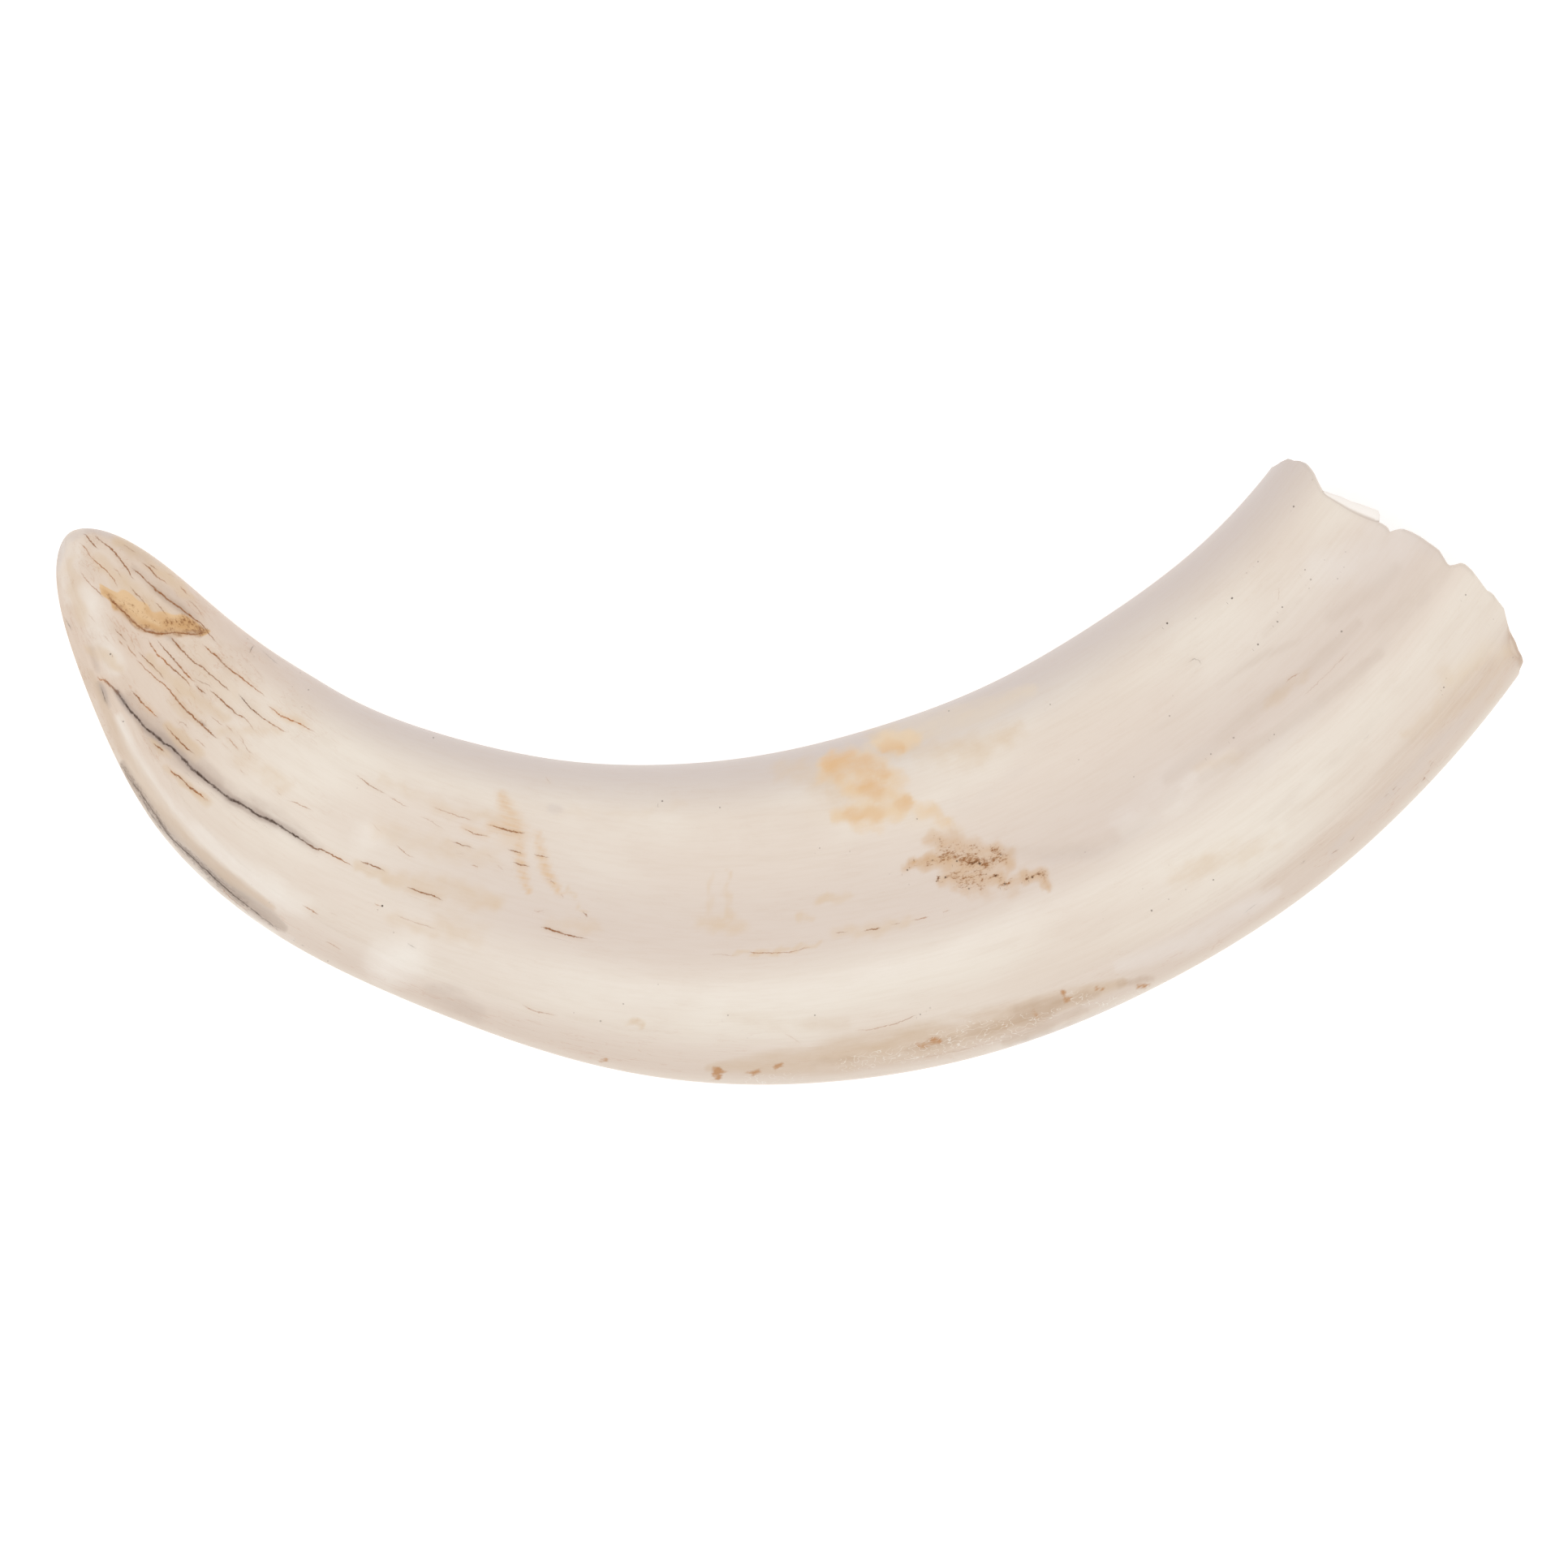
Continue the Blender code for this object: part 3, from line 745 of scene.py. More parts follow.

# The stains, from the lowest coat to the uppermost. A few also carry painted highlights and painted
# shade.
STAINS = (
    # Pale tone at the tip, and painted highlights on the tip facet's crest, the upper and lower
    # crests and two swells.
    Stain("pale_wash", colour(242, 234, 224), 0.62, Break.WASHED, smears(
        (((-86.6, 22.2), (-85.0, 17.5), (-83.0, 13.2)), (2.2, 3.4, 2.6), 0.85),
        (((-82.6, 6.6), (-81.0, 2.5), (-78.4, -2.8), (-75.0, -7.2), (-71.0, -10.2), (-66.2, -13.4),
          (-60.0, -16.6)), (1.1, 1.8, 2.6, 3.2, 3.8, 3.6, 2.6), 0.95),
        (((-52.6, -8.3), (-51.6, -7.8)), (3.8,), 0.6),
        (((-49.0, -23.6), (-47.2, -23.0)), (5.4,)),
        (((41.8, -7.6), (45.8, -5.0), (50.4, -1.2), (54.8, 2.0)), (2.6, 3.6, 2.8, 1.8), 0.6),
        (((-35.2, -25.0), (-17.2, -28.2), (2.8, -27.2), (20.8, -22.2), (32.8, -16.0)),
          (4.0, 5.0, 5.0, 5.0, 3.0), 0.35),
        (((-27.2, -6.0), (-11.2, -8.0), (-1.2, -7.0)), (5.0, 6.0, 4.0), 0.25),
        (((-87.6, 27.8), (-88.2, 25.0)), (1.8,), 0.5),
        (((-88.6, 28.2), (-89.4, 25.0), (-88.8, 21.0)), (1.6, 2.0, 1.4), 0.5),
    )),
    # Painted cool shade along the inner edge, the lower edge and the tip's left edge, with a few
    # cool grey patches.
    Stain("cool_wash", colour(207, 196, 191), 0.55, Break.WASHED, smears(
        (((-67.2, 16.4), (-60.2, 11.8), (-52.2, 7.8), (-41.2, 4.0), (-31.2, 2.0), (-21.2, 1.0),
          (-9.2, 1.2), (-1.2, 2.4)), (1.2, 2.2, 2.4, 2.6, 2.8, 2.8, 2.6, 1.6), 0.3),
        (((24.8, -35.6), (31.8, -33.0), (37.8, -30.6), (43.8, -28.2)), (1.5, 1.8, 1.6, 0.9), 0.7),
        (((66.8, -10.0), (72.8, -4.0), (79.8, 3.0), (86.8, 11.0)), (1.4, 1.8, 1.8, 1.0), 0.4),
        (((-29.2, -4.6), (-28.4, -4.8)), (1.3,), 0.6),
        (((76.8, 28.6), (80.3, 26.0)), (1.6,), 0.35),
        (((12.4, -6.0), (22.8, -4.0), (28.8, 0.0)), (2.4, 3.0, 2.0), 0.25),
        (((31.8, -11.0), (38.8, -10.0), (45.8, -6.0)), (2.0, 2.4, 1.6), 0.35),
        (((55.8, -2.0), (66.8, 8.4), (76.8, 19.4), (81.8, 25.0)), (1.4, 1.8, 1.8, 1.2), 0.23),
        (((-91.0, 20.0), (-90.8, 24.4), (-89.2, 28.6), (-86.0, 30.0), (-82.2, 28.8), (-77.6, 25.6)),
          (1.0, 1.2, 1.3, 1.1, 1.0, 0.7), 0.75),
    )),
    # Dark halo along the main crack: partly stain, partly painted shade of the crack's step, with a
    # painted shadow wedge where it starts.
    Stain("crack_halo", colour(146, 128, 116), 0.8, Break.WASHED, smears(
        (((-83.0, 9.8), (-81.5, 8.0), (-79.1, 5.4), (-76.3, 3.3), (-74.4, 1.4), (-72.3, -0.5),
          (-68.8, -3.3), (-65.2, -5.4), (-62.0, -7.0), (-58.2, -9.5)),
          (0.5, 0.9, 1.3, 1.5, 1.3, 1.1, 1.0, 1.2, 0.9, 0.9, 0.5), 0.62),
        (((-82.8, 9.7), (-81.9, 8.4)), (0.6, 0.7), 0.9),
        (((-78.9, 5.1), (-78.2, 4.5)), (0.8,), 0.9),
        (((-76.4, 3.1), (-74.4, 1.3)), (0.9, 0.8), 0.95),
        (((-68.8, -3.4), (-68.1, -3.8), (-67.2, -4.1)), (0.7, 1.0, 0.6)),
        (((-65.0, -5.6), (-63.8, -6.1)), (0.7,), 0.8),
        (((-78.5, 22.8), (-77.2, 21.6), (-75.7, 20.6), (-74.0, 19.3)), (0.5, 0.8, 0.9, 0.5), 0.75),
        (((-76.4, 16.6), (-75.0, 15.2)), (0.6, 0.4), 0.4),
        (((-72.6, 6.1), (-72.0, 5.6)), (0.4,), 0.6),
        (((-74.9, 8.1), (-74.0, 7.2)), (0.4,), 0.5),
        (((-68.8, -3.4), (-68.0, -3.9), (-67.1, -4.3)), (0.8, 1.1, 0.7), 0.9),
        (((-71.0, -1.4), (-68.8, -3.2)), (0.9,), 0.5),
        (((-67.1, -4.4), (-64.4, -5.9), (-62.0, -7.3)), (0.8, 0.8, 0.5), 0.55),
        (((-76.6, 3.2), (-73.8, 0.6), (-71.6, -1.2)), (0.8, 1.0, 0.8), 0.5),
        (((-85.0, 10.8), (-84.4, 9.4), (-84.1, 8.4)), (0.7, 0.8, 0.4), 0.8),
    ), rise=-0.08),
    Stain("milky", colour(233, 225, 219), 0.42, Break.WASHED, smears(
        (((65.8, 25.0), (71.8, 26.0), (77.8, 30.0)), (4.4, 6.0, 4.0), 0.7),
        (((71.8, 30.0), (75.8, 31.0)), (2.8,), 0.5),
        (((40.8, -6.0), (44.8, -3.5), (51.8, 2.0)), (3.4, 5.0, 3.6), 0.55),
        (((40.8, -24.0), (46.8, -22.0), (53.8, -18.6), (59.8, -14.8)), (1.6, 2.6, 2.6, 1.6), 0.85),
        (((-89.2, 27.4), (-87.2, 25.0), (-85.2, 22.4)), (2.0, 2.4, 1.6), 0.3),
        (((-45.2, -2.5), (-39.2, -5.0)), (2.2,), 0.3),
        (((58.8, 2.0), (64.8, 8.0)), (2.4,), 0.4),
        (((-72.8, -13.0), (-67.2, -17.4), (-61.2, -20.8)), (1.0, 1.4, 1.0), 0.5),
    )),
    Stain("violet_shade", colour(190, 170, 155), 0.55, Break.WASHED, smears(
        (((-81.4, 8.8), (-79.6, 6.8), (-77.2, 4.2), (-74.6, 1.8), (-72.6, 0.2), (-70.2, -1.6)),
          (1.8, 2.4, 2.8, 3.0, 2.4, 1.6)),
        (((-78.8, 4.5), (-76.9, 2.3)), (1.5,), 0.6),
        (((-68.6, -3.4), (-64.2, -5.8), (-59.2, -9.0)), (1.6, 1.9, 1.0), 0.6),
        (((-80.7, 25.0), (-78.2, 22.8), (-75.7, 20.8), (-73.2, 18.8)), (1.0, 1.6, 1.7, 1.0), 0.8),
        (((-82.2, 28.2), (-79.2, 26.2)), (1.2, 1.4), 0.8),
        (((-76.6, 16.8), (-75.4, 15.8)), (1.2, 0.9), 0.7),
        (((-85.0, 10.8), (-84.2, 9.2), (-83.8, 8.0)), (1.0, 1.0, 0.6)),
        (((-85.9, 15.0), (-85.2, 12.4)), (0.8,), 0.7),
        (((-43.8, -27.2), (-41.6, -28.2), (-38.4, -30.0)), (2.6, 3.8, 2.4), 0.6),
        (((-72.8, 0.4), (-68.2, -3.4), (-63.2, -6.0), (-58.0, -9.4)), (2.0, 2.8, 2.8, 1.8), 0.6),
    )),
    Stain("side_crack", colour(112, 98, 90), 0.95, Break.GRANULAR, smears(
        (((-82.2, 0.8), (-80.0, -2.5), (-78.2, -5.1), (-76.2, -8.2), (-74.4, -9.8), (-72.4, -11.7),
          (-69.6, -14.4), (-67.2, -16.4)), (0.5, 0.8, 1.0, 0.8, 0.9, 1.2, 1.5, 1.3), 0.9),
        (((-68.2, -15.6), (-65.6, -17.6), (-63.2, -19.3)), (1.3, 1.0, 0.6), 0.6),
        (((-64.2, -18.6), (-61.2, -20.6), (-58.0, -22.4)), (0.8, 0.6, 0.4), 0.35),
    ), rise=-0.12),
    Stain("side_shade", colour(170, 150, 134), 0.6, Break.WASHED, smears(
        (((-82.0, 1.0), (-80.6, -1.6), (-77.6, -5.8), (-74.6, -9.2), (-72.0, -11.6), (-68.8, -14.4),
          (-65.4, -17.0), (-62.2, -19.4)), (0.7, 1.2, 1.7, 2.0, 2.3, 2.5, 2.1, 0.8)),
    ), rise=-0.08),
    # Pale frayed fringe along the side crack, with painted reflection where the side turns away at
    # the rim.
    Stain("side_fringe", colour(246, 237, 226), 0.85, Break.STREAKED, smears(
        (((-82.2, -1.2), (-80.4, -4.0), (-78.2, -7.2), (-75.6, -10.2), (-72.8, -13.0),
          (-69.6, -15.8), (-66.0, -18.4), (-63.2, -20.2)),
          (0.6, 0.9, 1.1, 1.2, 1.3, 1.3, 1.0, 0.5)),
    )),
    Stain("tip_facet", colour(209, 184, 158), 0.65, Break.WASHED, smears(
        (((-86.0, 12.2), (-84.4, 8.2), (-82.2, 3.2), (-79.8, -1.0), (-76.8, -5.4), (-73.2, -9.3),
          (-69.2, -12.8), (-63.6, -16.8)), (0.6, 1.0, 1.4, 1.6, 1.6, 1.4, 1.2, 0.6)),
    )),
    Stain("tan_shade", colour(216, 189, 156), 0.7, Break.WASHED, smears(
        (((-85.2, 26.0), (-82.2, 23.4), (-79.2, 20.8), (-76.6, 18.6)), (1.6, 2.2, 2.4, 1.4), 0.7),
        (((-82.2, 28.6), (-78.8, 26.0), (-75.8, 23.4), (-73.6, 21.2)), (1.8, 2.2, 1.8, 0.9), 0.85),
        (((-78.6, 22.6), (-74.2, 16.0), (-70.2, 10.0), (-64.2, 6.0)), (2.6, 4.2, 4.2, 2.6), 0.38),
        (((-78.8, 13.8), (-75.8, 10.8), (-72.6, 8.4), (-69.2, 6.6)), (1.2, 2.0, 2.2, 1.2), 0.68),
        (((-75.8, 8.2), (-73.2, 6.6)), (1.6,), 0.59),
        (((-76.6, 5.4), (-73.2, 2.4)), (1.4, 2.0), 0.77),
        (((-70.2, 5.0), (-63.2, 5.0)), (1.6,), 0.42),
        (((-67.2, 1.5), (-62.0, -1.8)), (2.6,), 0.42),
        (((-76.5, 0.2), (-75.0, -1.0), (-73.2, -2.6), (-71.7, -3.8)), (1.0, 0.9, 0.9, 1.2), 0.77),
        (((-78.2, 3.6), (-76.8, 2.0)), (1.1,), 0.77),
        (((-63.2, 7.2), (-60.0, 6.0)), (1.4,), 0.42),
        (((-53.2, -11.8), (-49.2, -13.2)), (1.4, 1.6), 0.59),
        (((-48.2, -13.6), (-44.2, -14.4), (-40.2, -15.6), (-36.0, -16.2)), (2.4, 3.9, 4.2, 2.4),
          0.5),
        (((-41.7, -9.0), (-39.7, -9.4)), (1.2,), 0.59),
        (((-9.6, -12.0), (-9.8, -16.0), (-9.2, -20.0)), (0.6, 0.9, 1.0), 0.42),
        (((-7.4, -12.4), (-7.6, -15.4), (-7.2, -17.8)), (0.6, 1.1, 1.3), 0.51),
        (((3.8, -15.8), (7.4, -15.6)), (1.2,), 0.59),
        (((1.4, -18.1), (2.4, -18.1)), (1.2,), 0.6),
        (((5.8, -19.8), (10.8, -19.6), (15.2, -18.4)), (1.6, 2.0, 1.2), 0.45),
        (((-7.2, -22.4), (-2.2, -22.4), (3.8, -21.3)), (0.5, 0.8, 0.6), 0.68),
        (((12.4, 2.5), (17.8, 2.0), (22.8, 2.5), (28.2, 5.0)), (2.4, 4.0, 4.4, 2.6), 0.51),
        (((9.8, 4.5), (12.8, 5.2)), (1.8,), 0.42),
        (((-1.2, 0.0), (2.8, 0.0), (6.8, -4.0)), (2.4, 4.2, 3.6), 0.47),
        (((17.8, -5.0), (20.8, -7.4)), (1.6, 1.8), 0.51),
        (((89.0, 14.4), (86.8, 11.4), (83.4, 8.8), (79.0, 6.0), (75.8, 4.5)),
          (2.2, 3.6, 3.8, 3.2, 1.4), 0.38),
        (((80.4, 12.2), (81.8, 9.8)), (3.0, 3.2), 0.35),
        (((47.8, -13.0), (52.8, -11.0), (59.8, -8.6)), (3.4, 4.0, 2.8), 0.42),
        (((-27.2, -14.6), (-26.0, -16.4), (-25.0, -17.6)), (0.7, 0.6, 0.4), 0.51),
        (((50.6, 0.6), (53.8, 1.4), (55.8, 2.0)), (2.0, 2.4, 1.6), 0.4),
        (((58.8, 8.0), (63.8, 12.0)), (1.4,), 0.42),
        (((-40.6, -18.4), (-38.2, -19.0)), (3.2,), 0.3),
        (((-19.4, -30.8), (-18.4, -31.2)), (0.9,), 0.77),
        (((-49.2, -18.0), (-43.2, -20.0)), (2.0, 1.6), 0.42),
        (((-28.2, -5.0), (-21.2, -5.4), (-13.2, -4.0)), (1.6, 2.2, 1.6), 0.26),
        (((-50.2, -1.0), (-41.2, -5.0), (-33.2, -6.0)), (1.6, 2.4, 1.6), 0.38),
        (((-50.2, -7.0), (-43.2, -9.2), (-36.6, -10.6)), (3.4, 4.0, 2.6), 0.4),
        (((-88.6, 26.0), (-88.0, 22.0), (-86.8, 18.0)), (1.6, 2.0, 1.6), 0.5),
        (((-43.2, -19.0), (-38.2, -21.0)), (3.0,), 0.4),
        (((-29.2, -18.6), (-24.2, -19.2)), (2.2,), 0.45),
        (((-10.6, -18.6), (-6.0, -19.4)), (2.2,), 0.5),
        (((-86.2, 15.0), (-83.6, 13.8), (-82.2, 12.4)), (1.4, 1.8, 1.2), 0.6),
        (((10.6, 4.4), (13.2, 3.8), (15.2, 4.2)), (1.8, 2.3, 1.4), 0.85),
        (((77.2, 4.5), (81.8, 9.0), (86.8, 13.8)), (2.4, 3.4, 2.6), 0.4),
    ), ruffle=0.25),
    Stain("chip", colour(225, 190, 147), 1.0, Break.SOLID, smears(
        (((-84.8, 22.5), (-83.8, 21.9), (-82.4, 20.9), (-81.0, 20.0), (-79.8, 19.1), (-78.4, 18.5),
          (-77.0, 18.2), (-75.4, 18.2), (-73.6, 17.9), (-72.5, 17.3), (-71.7, 17.2)),
          (0.4, 1.1, 1.5, 1.6, 1.7, 1.7, 1.6, 1.7, 1.3, 0.8, 0.4)),
        (((-82.2, 21.5), (-80.4, 20.6), (-79.2, 19.6)), (1.0, 1.1, 0.7), 0.7),
    ), rise=-0.22, ruffle=0.2),
    Stain("chip_warm", colour(202, 156, 104), 0.8, Break.WASHED, smears(
        (((-83.8, 21.2), (-81.2, 19.0), (-79.2, 17.6), (-76.6, 17.2), (-73.6, 17.2), (-71.8, 17.3)),
          (0.6, 1.1, 1.3, 1.2, 1.3, 0.8), 0.8),
        (((-76.6, 18.0), (-74.0, 18.2), (-72.4, 17.5)), (1.6, 1.8, 1.2), 0.8),
        (((-84.4, 22.1), (-83.2, 21.5)), (0.6,), 0.8),
        (((-79.2, 19.8), (-76.6, 18.6), (-74.4, 17.8)), (1.0, 1.2, 1.0), 0.5),
    ), ruffle=0.2),
    Stain("chip_grains", colour(138, 88, 48), 0.85, Break.GRANULAR, smears(
        (((-84.1, 21.5), (-82.6, 20.2), (-81.2, 18.9), (-80.0, 17.9), (-78.6, 17.3), (-76.6, 17.2),
          (-74.6, 17.2), (-73.2, 17.1), (-71.8, 17.3)),
          (0.5, 0.7, 0.9, 0.9, 0.9, 0.9, 0.9, 1.0, 0.8), 0.67),
        (((-76.6, 18.2), (-75.0, 18.6), (-73.6, 18.2), (-72.2, 17.4)), (1.2, 1.7, 1.5, 0.9), 0.71),
        (((-83.6, 21.8), (-82.0, 20.7), (-80.2, 19.6), (-77.6, 18.4)), (0.8, 1.3, 1.3, 1.1), 0.45),
        (((-72.8, 17.3), (-71.9, 17.4)), (0.9,), 0.97),
        (((-82.6, 21.2), (-80.6, 20.4)), (0.9, 0.8), 0.5),
    ), ruffle=0.2),
    Stain("chip_edge", colour(120, 72, 34), 0.8, Break.STREAKED, smears(
        (((-83.2, 20.4), (-81.8, 19.1), (-80.4, 17.8), (-79.0, 17.1), (-76.8, 16.9), (-74.6, 16.9),
          (-72.6, 16.8), (-71.8, 17.0)), (0.12, 0.18, 0.24, 0.24, 0.2, 0.2, 0.26, 0.26), 0.6),
    ), ruffle=0.2),
    Stain("orange_halo", colour(229, 200, 164), 0.85, Break.WASHED, smears(
        (((4.8, 0.0), (5.8, 0.5), (7.8, 0.4), (12.4, -1.0)), (2.75, 4.25, 4.5, 3.5)),
        (((7.8, -2.2), (10.0, -2.2), (12.4, -2.4)), (2.25, 3.5, 2.5)),
        (((13.4, -3.4), (14.6, -3.9)), (1.88,), 0.9),
        (((6.2, -5.3), (9.8, -5.3), (13.8, -4.8)), (1.75, 2.5, 2.0)),
        (((11.2, 3.6), (12.8, 3.3), (15.4, 3.8)), (1.75, 2.75, 2.0), 0.9),
        (((9.4, -4.0), (12.4, -3.4)), (2.0,), 0.6),
        (((14.8, -4.0), (17.8, -5.2), (19.6, -6.4)), (1.75, 2.25, 1.5), 0.7),
        (((8.4, -6.8), (10.8, -7.0)), (1.75,), 0.5),
        (((6.4, -1.2), (9.2, -0.8), (13.8, -1.6)), (1.75, 2.25, 1.75), 0.7),
    ), ruffle=0.28),
    Stain("orange_core", colour(220, 171, 114), 0.6, Break.WASHED, smears(
        (((5.2, 0.2), (5.8, 0.9), (7.4, 1.0), (9.4, 0.6), (11.6, -0.2)),
          (2.34, 2.99, 2.34, 2.21, 1.69), 0.77),
        (((9.6, -2.0), (10.8, -2.2)), (2.47,), 0.85),
        (((13.7, -4.0), (14.5, -4.0)), (1.56,), 0.81),
        (((7.6, -5.4), (11.2, -5.1)), (1.82, 1.95), 0.59),
        (((12.0, 3.0), (13.6, 3.2)), (1.56, 1.43), 0.81),
        (((8.8, -5.3), (10.2, -5.2)), (1.04,), 0.42),
    ), ruffle=0.28),
    Stain("brown_patch", colour(208, 172, 134), 0.8, Break.WASHED, smears(
        (((17.8, -8.4), (21.8, -9.4), (25.3, -10.0)), (2.07, 2.76, 2.3), 0.9),
        (((15.6, -11.4), (19.8, -11.0), (23.3, -11.2), (26.8, -10.8)), (1.38, 2.53, 2.99, 2.3)),
        (((19.2, -13.2), (22.8, -13.4), (25.8, -13.2)), (1.61, 2.76, 2.07), 0.95),
        (((20.8, -14.6), (24.0, -14.4)), (1.38, 1.84), 0.8),
        (((28.8, -13.0), (31.2, -12.9), (32.0, -14.0)), (1.38, 1.61, 1.03), 0.9),
        (((25.8, -13.8), (27.6, -13.8)), (1.26,), 0.8),
        (((14.0, -11.8), (15.6, -11.6)), (1.03,), 0.6),
        (((25.4, -10.2), (26.6, -10.6)), (1.72,)),
        (((22.8, -15.4), (27.8, -14.8)), (1.61,), 0.4),
    ), ruffle=0.28),
    Stain("brown_grains", colour(150, 98, 52), 0.95, Break.GRANULAR, smears(
        (((19.0, -10.4), (21.4, -10.8), (23.6, -11.2), (26.0, -10.9)), (1.32, 1.65, 1.76, 1.43),
          0.78),
        (((21.6, -11.0), (24.0, -11.6)), (0.88, 1.1), 0.98),
        (((16.6, -11.3), (18.6, -11.2)), (0.99,), 0.57),
        (((19.4, -13.0), (22.4, -12.8), (25.6, -13.0)), (0.77, 1.1, 1.1), 0.71),
        (((20.2, -13.6), (23.8, -14.2)), (1.1, 1.32), 0.67),
        (((18.6, -13.1), (19.6, -13.1)), (0.66,), 0.92),
        (((25.0, -9.9), (26.6, -10.7)), (1.32,), 0.85),
        (((26.0, -13.8), (27.4, -13.8)), (0.99,), 0.75),
        (((29.0, -12.9), (31.4, -12.9)), (0.88,), 0.78),
        (((18.6, -9.0), (23.4, -9.6)), (1.21,), 0.57),
        (((18.2, -8.4), (19.2, -8.7)), (0.77,), 0.69),
        (((14.5, -12.0), (15.4, -11.7)), (0.88,), 0.46),
        (((-84.0, 14.8), (-83.3, 14.1)), (0.5,), 0.6),
        (((-82.3, 6.6), (-81.9, 5.6)), (0.4,), 0.6),
        (((15.8, -33.8), (18.0, -33.2)), (0.9,), 0.5),
        (((-9.2, -36.8), (-8.6, -37.4)), (0.8,), 0.5),
        (((22.4, -14.0), (24.0, -13.8)), (0.9,), 0.6),
    ), ruffle=0.28),
    Stain("near_black", colour(84, 52, 26), 0.9, Break.GRANULAR, smears(
        (((22.2, -11.2), (23.0, -11.4), (23.9, -11.7)), (0.5, 0.6, 0.5), 0.7),
        (((20.7, -11.1), (21.8, -11.0)), (0.36,), 0.7),
        (((18.6, -13.1), (19.6, -13.1)), (0.32,), 0.8),
        (((23.9, -12.6), (24.6, -12.8), (25.5, -13.0)), (0.4,), 0.72),
        (((25.5, -11.1), (26.0, -11.1)), (0.3,), 0.8),
        (((26.3, -13.8), (26.9, -13.9)), (0.32,), 0.75),
        (((28.5, -13.8), (29.0, -13.8)), (0.3,), 0.7),
        (((29.1, -13.0), (30.0, -13.1), (31.1, -12.9)), (0.36,), 0.7),
        (((14.5, -12.2), (14.9, -12.2)), (0.25,), 0.8),
        (((22.6, -12.3), (23.0, -12.3)), (0.28,), 0.75),
    ), ruffle=0.28),
    Stain("brush", colour(219, 184, 144), 0.85, Break.STREAKED, smears(
        (((-35.4, -3.0), (-34.6, -5.4), (-34.0, -7.8)), (1.03, 2.3, 2.99), 0.85),
        (((-33.4, -7.6), (-33.1, -10.6), (-32.7, -13.0), (-32.0, -15.0)), (1.38, 1.15, 1.03, 0.46)),
        (((-31.0, -7.8), (-30.5, -10.2), (-29.9, -12.4), (-28.8, -14.0), (-28.2, -15.2)),
          (0.69, 1.03, 1.15, 0.92, 0.46), 0.95),
        (((-36.6, -6.8), (-34.8, -7.2)), (1.26,), 0.7),
        (((-40.0, -7.0), (-37.2, -8.0)), (0.92,), 0.4),
    )),
    Stain("yellow_wash", colour(230, 211, 184), 0.42, Break.WASHED, smears(
        (((9.8, 3.2), (12.8, 4.2), (16.8, 5.4), (22.8, 7.2), (29.8, 10.0)),
          (1.6, 2.8, 2.8, 2.6, 1.6), 0.85),
        (((11.4, 4.4), (14.4, 5.2)), (2.0,), 0.6),
        (((8.8, -4.0), (13.8, -5.0), (17.8, -7.0)), (3.4, 3.8, 2.8), 0.5),
        (((2.8, -5.0), (8.8, -6.0)), (3.0,), 0.3),
        (((81.8, 11.2), (85.8, 15.0), (88.6, 15.0)), (2.6, 3.0, 2.0), 0.5),
    )),
    Stain("dark_streaks", colour(202, 184, 168), 0.4, Break.WASHED, smears(
        (((46.8, -1.0), (51.8, 2.8), (55.8, 6.2), (58.8, 8.8), (62.0, 10.8), (64.8, 13.2),
          (68.0, 16.0), (70.2, 18.2)), (1.68, 1.92, 2.04, 2.04, 1.92, 1.8, 1.68, 1.2), 0.7),
        (((50.8, -1.0), (54.8, 1.6), (58.8, 4.0), (62.8, 6.6), (67.4, 10.0), (72.8, 14.4)),
          (1.32, 1.68, 1.68, 1.68, 1.68, 1.2), 0.7),
        (((52.8, 10.4), (55.8, 12.6), (58.8, 14.4), (62.8, 16.0)), (0.72, 0.96, 1.08, 0.96), 0.6),
        (((26.8, -10.0), (32.8, -10.2), (37.8, -9.4), (42.8, -6.8), (47.8, -2.5)),
          (1.68, 2.4, 2.64, 2.4, 1.8), 0.5),
        (((72.8, 18.0), (76.8, 21.0), (80.8, 25.0)), (2.64, 3.12, 2.16), 0.5),
        (((58.8, 17.0), (62.8, 21.0)), (1.44,), 0.35),
        (((66.8, 19.0), (71.8, 22.0), (74.8, 25.0)), (2.16, 2.4, 1.92), 0.5),
        (((58.8, -6.0), (66.8, 1.0), (72.8, 7.0)), (1.44, 1.92, 1.2), 0.35),
        (((44.8, 5.0), (50.8, 9.0), (56.8, 13.5)), (1.2, 1.44, 0.96), 0.35),
    ), rise=-0.05),
    Stain("edge_strokes", colour(204, 180, 158), 0.5, Break.STREAKED, smears(
        (((58.8, -14.2), (66.8, -8.0), (74.8, 0.0), (81.8, 7.8), (86.4, 12.8)),
          (1.6, 2.4, 2.6, 2.4, 1.6), 0.8),
        (((61.8, -6.0), (70.8, 2.0)), (1.6, 1.4), 0.35),
    )),
    Stain("edge_band", colour(207, 182, 155), 0.9, Break.WASHED, smears(
        (((-10.0, -36.6), (-4.2, -36.2), (2.8, -35.5), (9.8, -34.5), (16.8, -33.1), (22.8, -31.7),
          (27.8, -30.3), (32.4, -28.7), (36.8, -27.3), (41.2, -26.0)),
          (0.8, 2.2, 3.2, 3.8, 4.0, 3.8, 3.6, 3.0, 2.0, 1.0), 0.8),
        (((23.6, -32.0), (26.8, -31.2), (29.8, -30.4), (32.8, -29.0)), (1.4, 2.2, 2.4, 1.4), 0.8),
        (((14.8, -34.0), (18.8, -33.2), (21.8, -32.6)), (1.2, 1.8, 1.2), 0.6),
        (((2.8, -36.2), (10.8, -35.2)), (1.2, 1.4), 0.5),
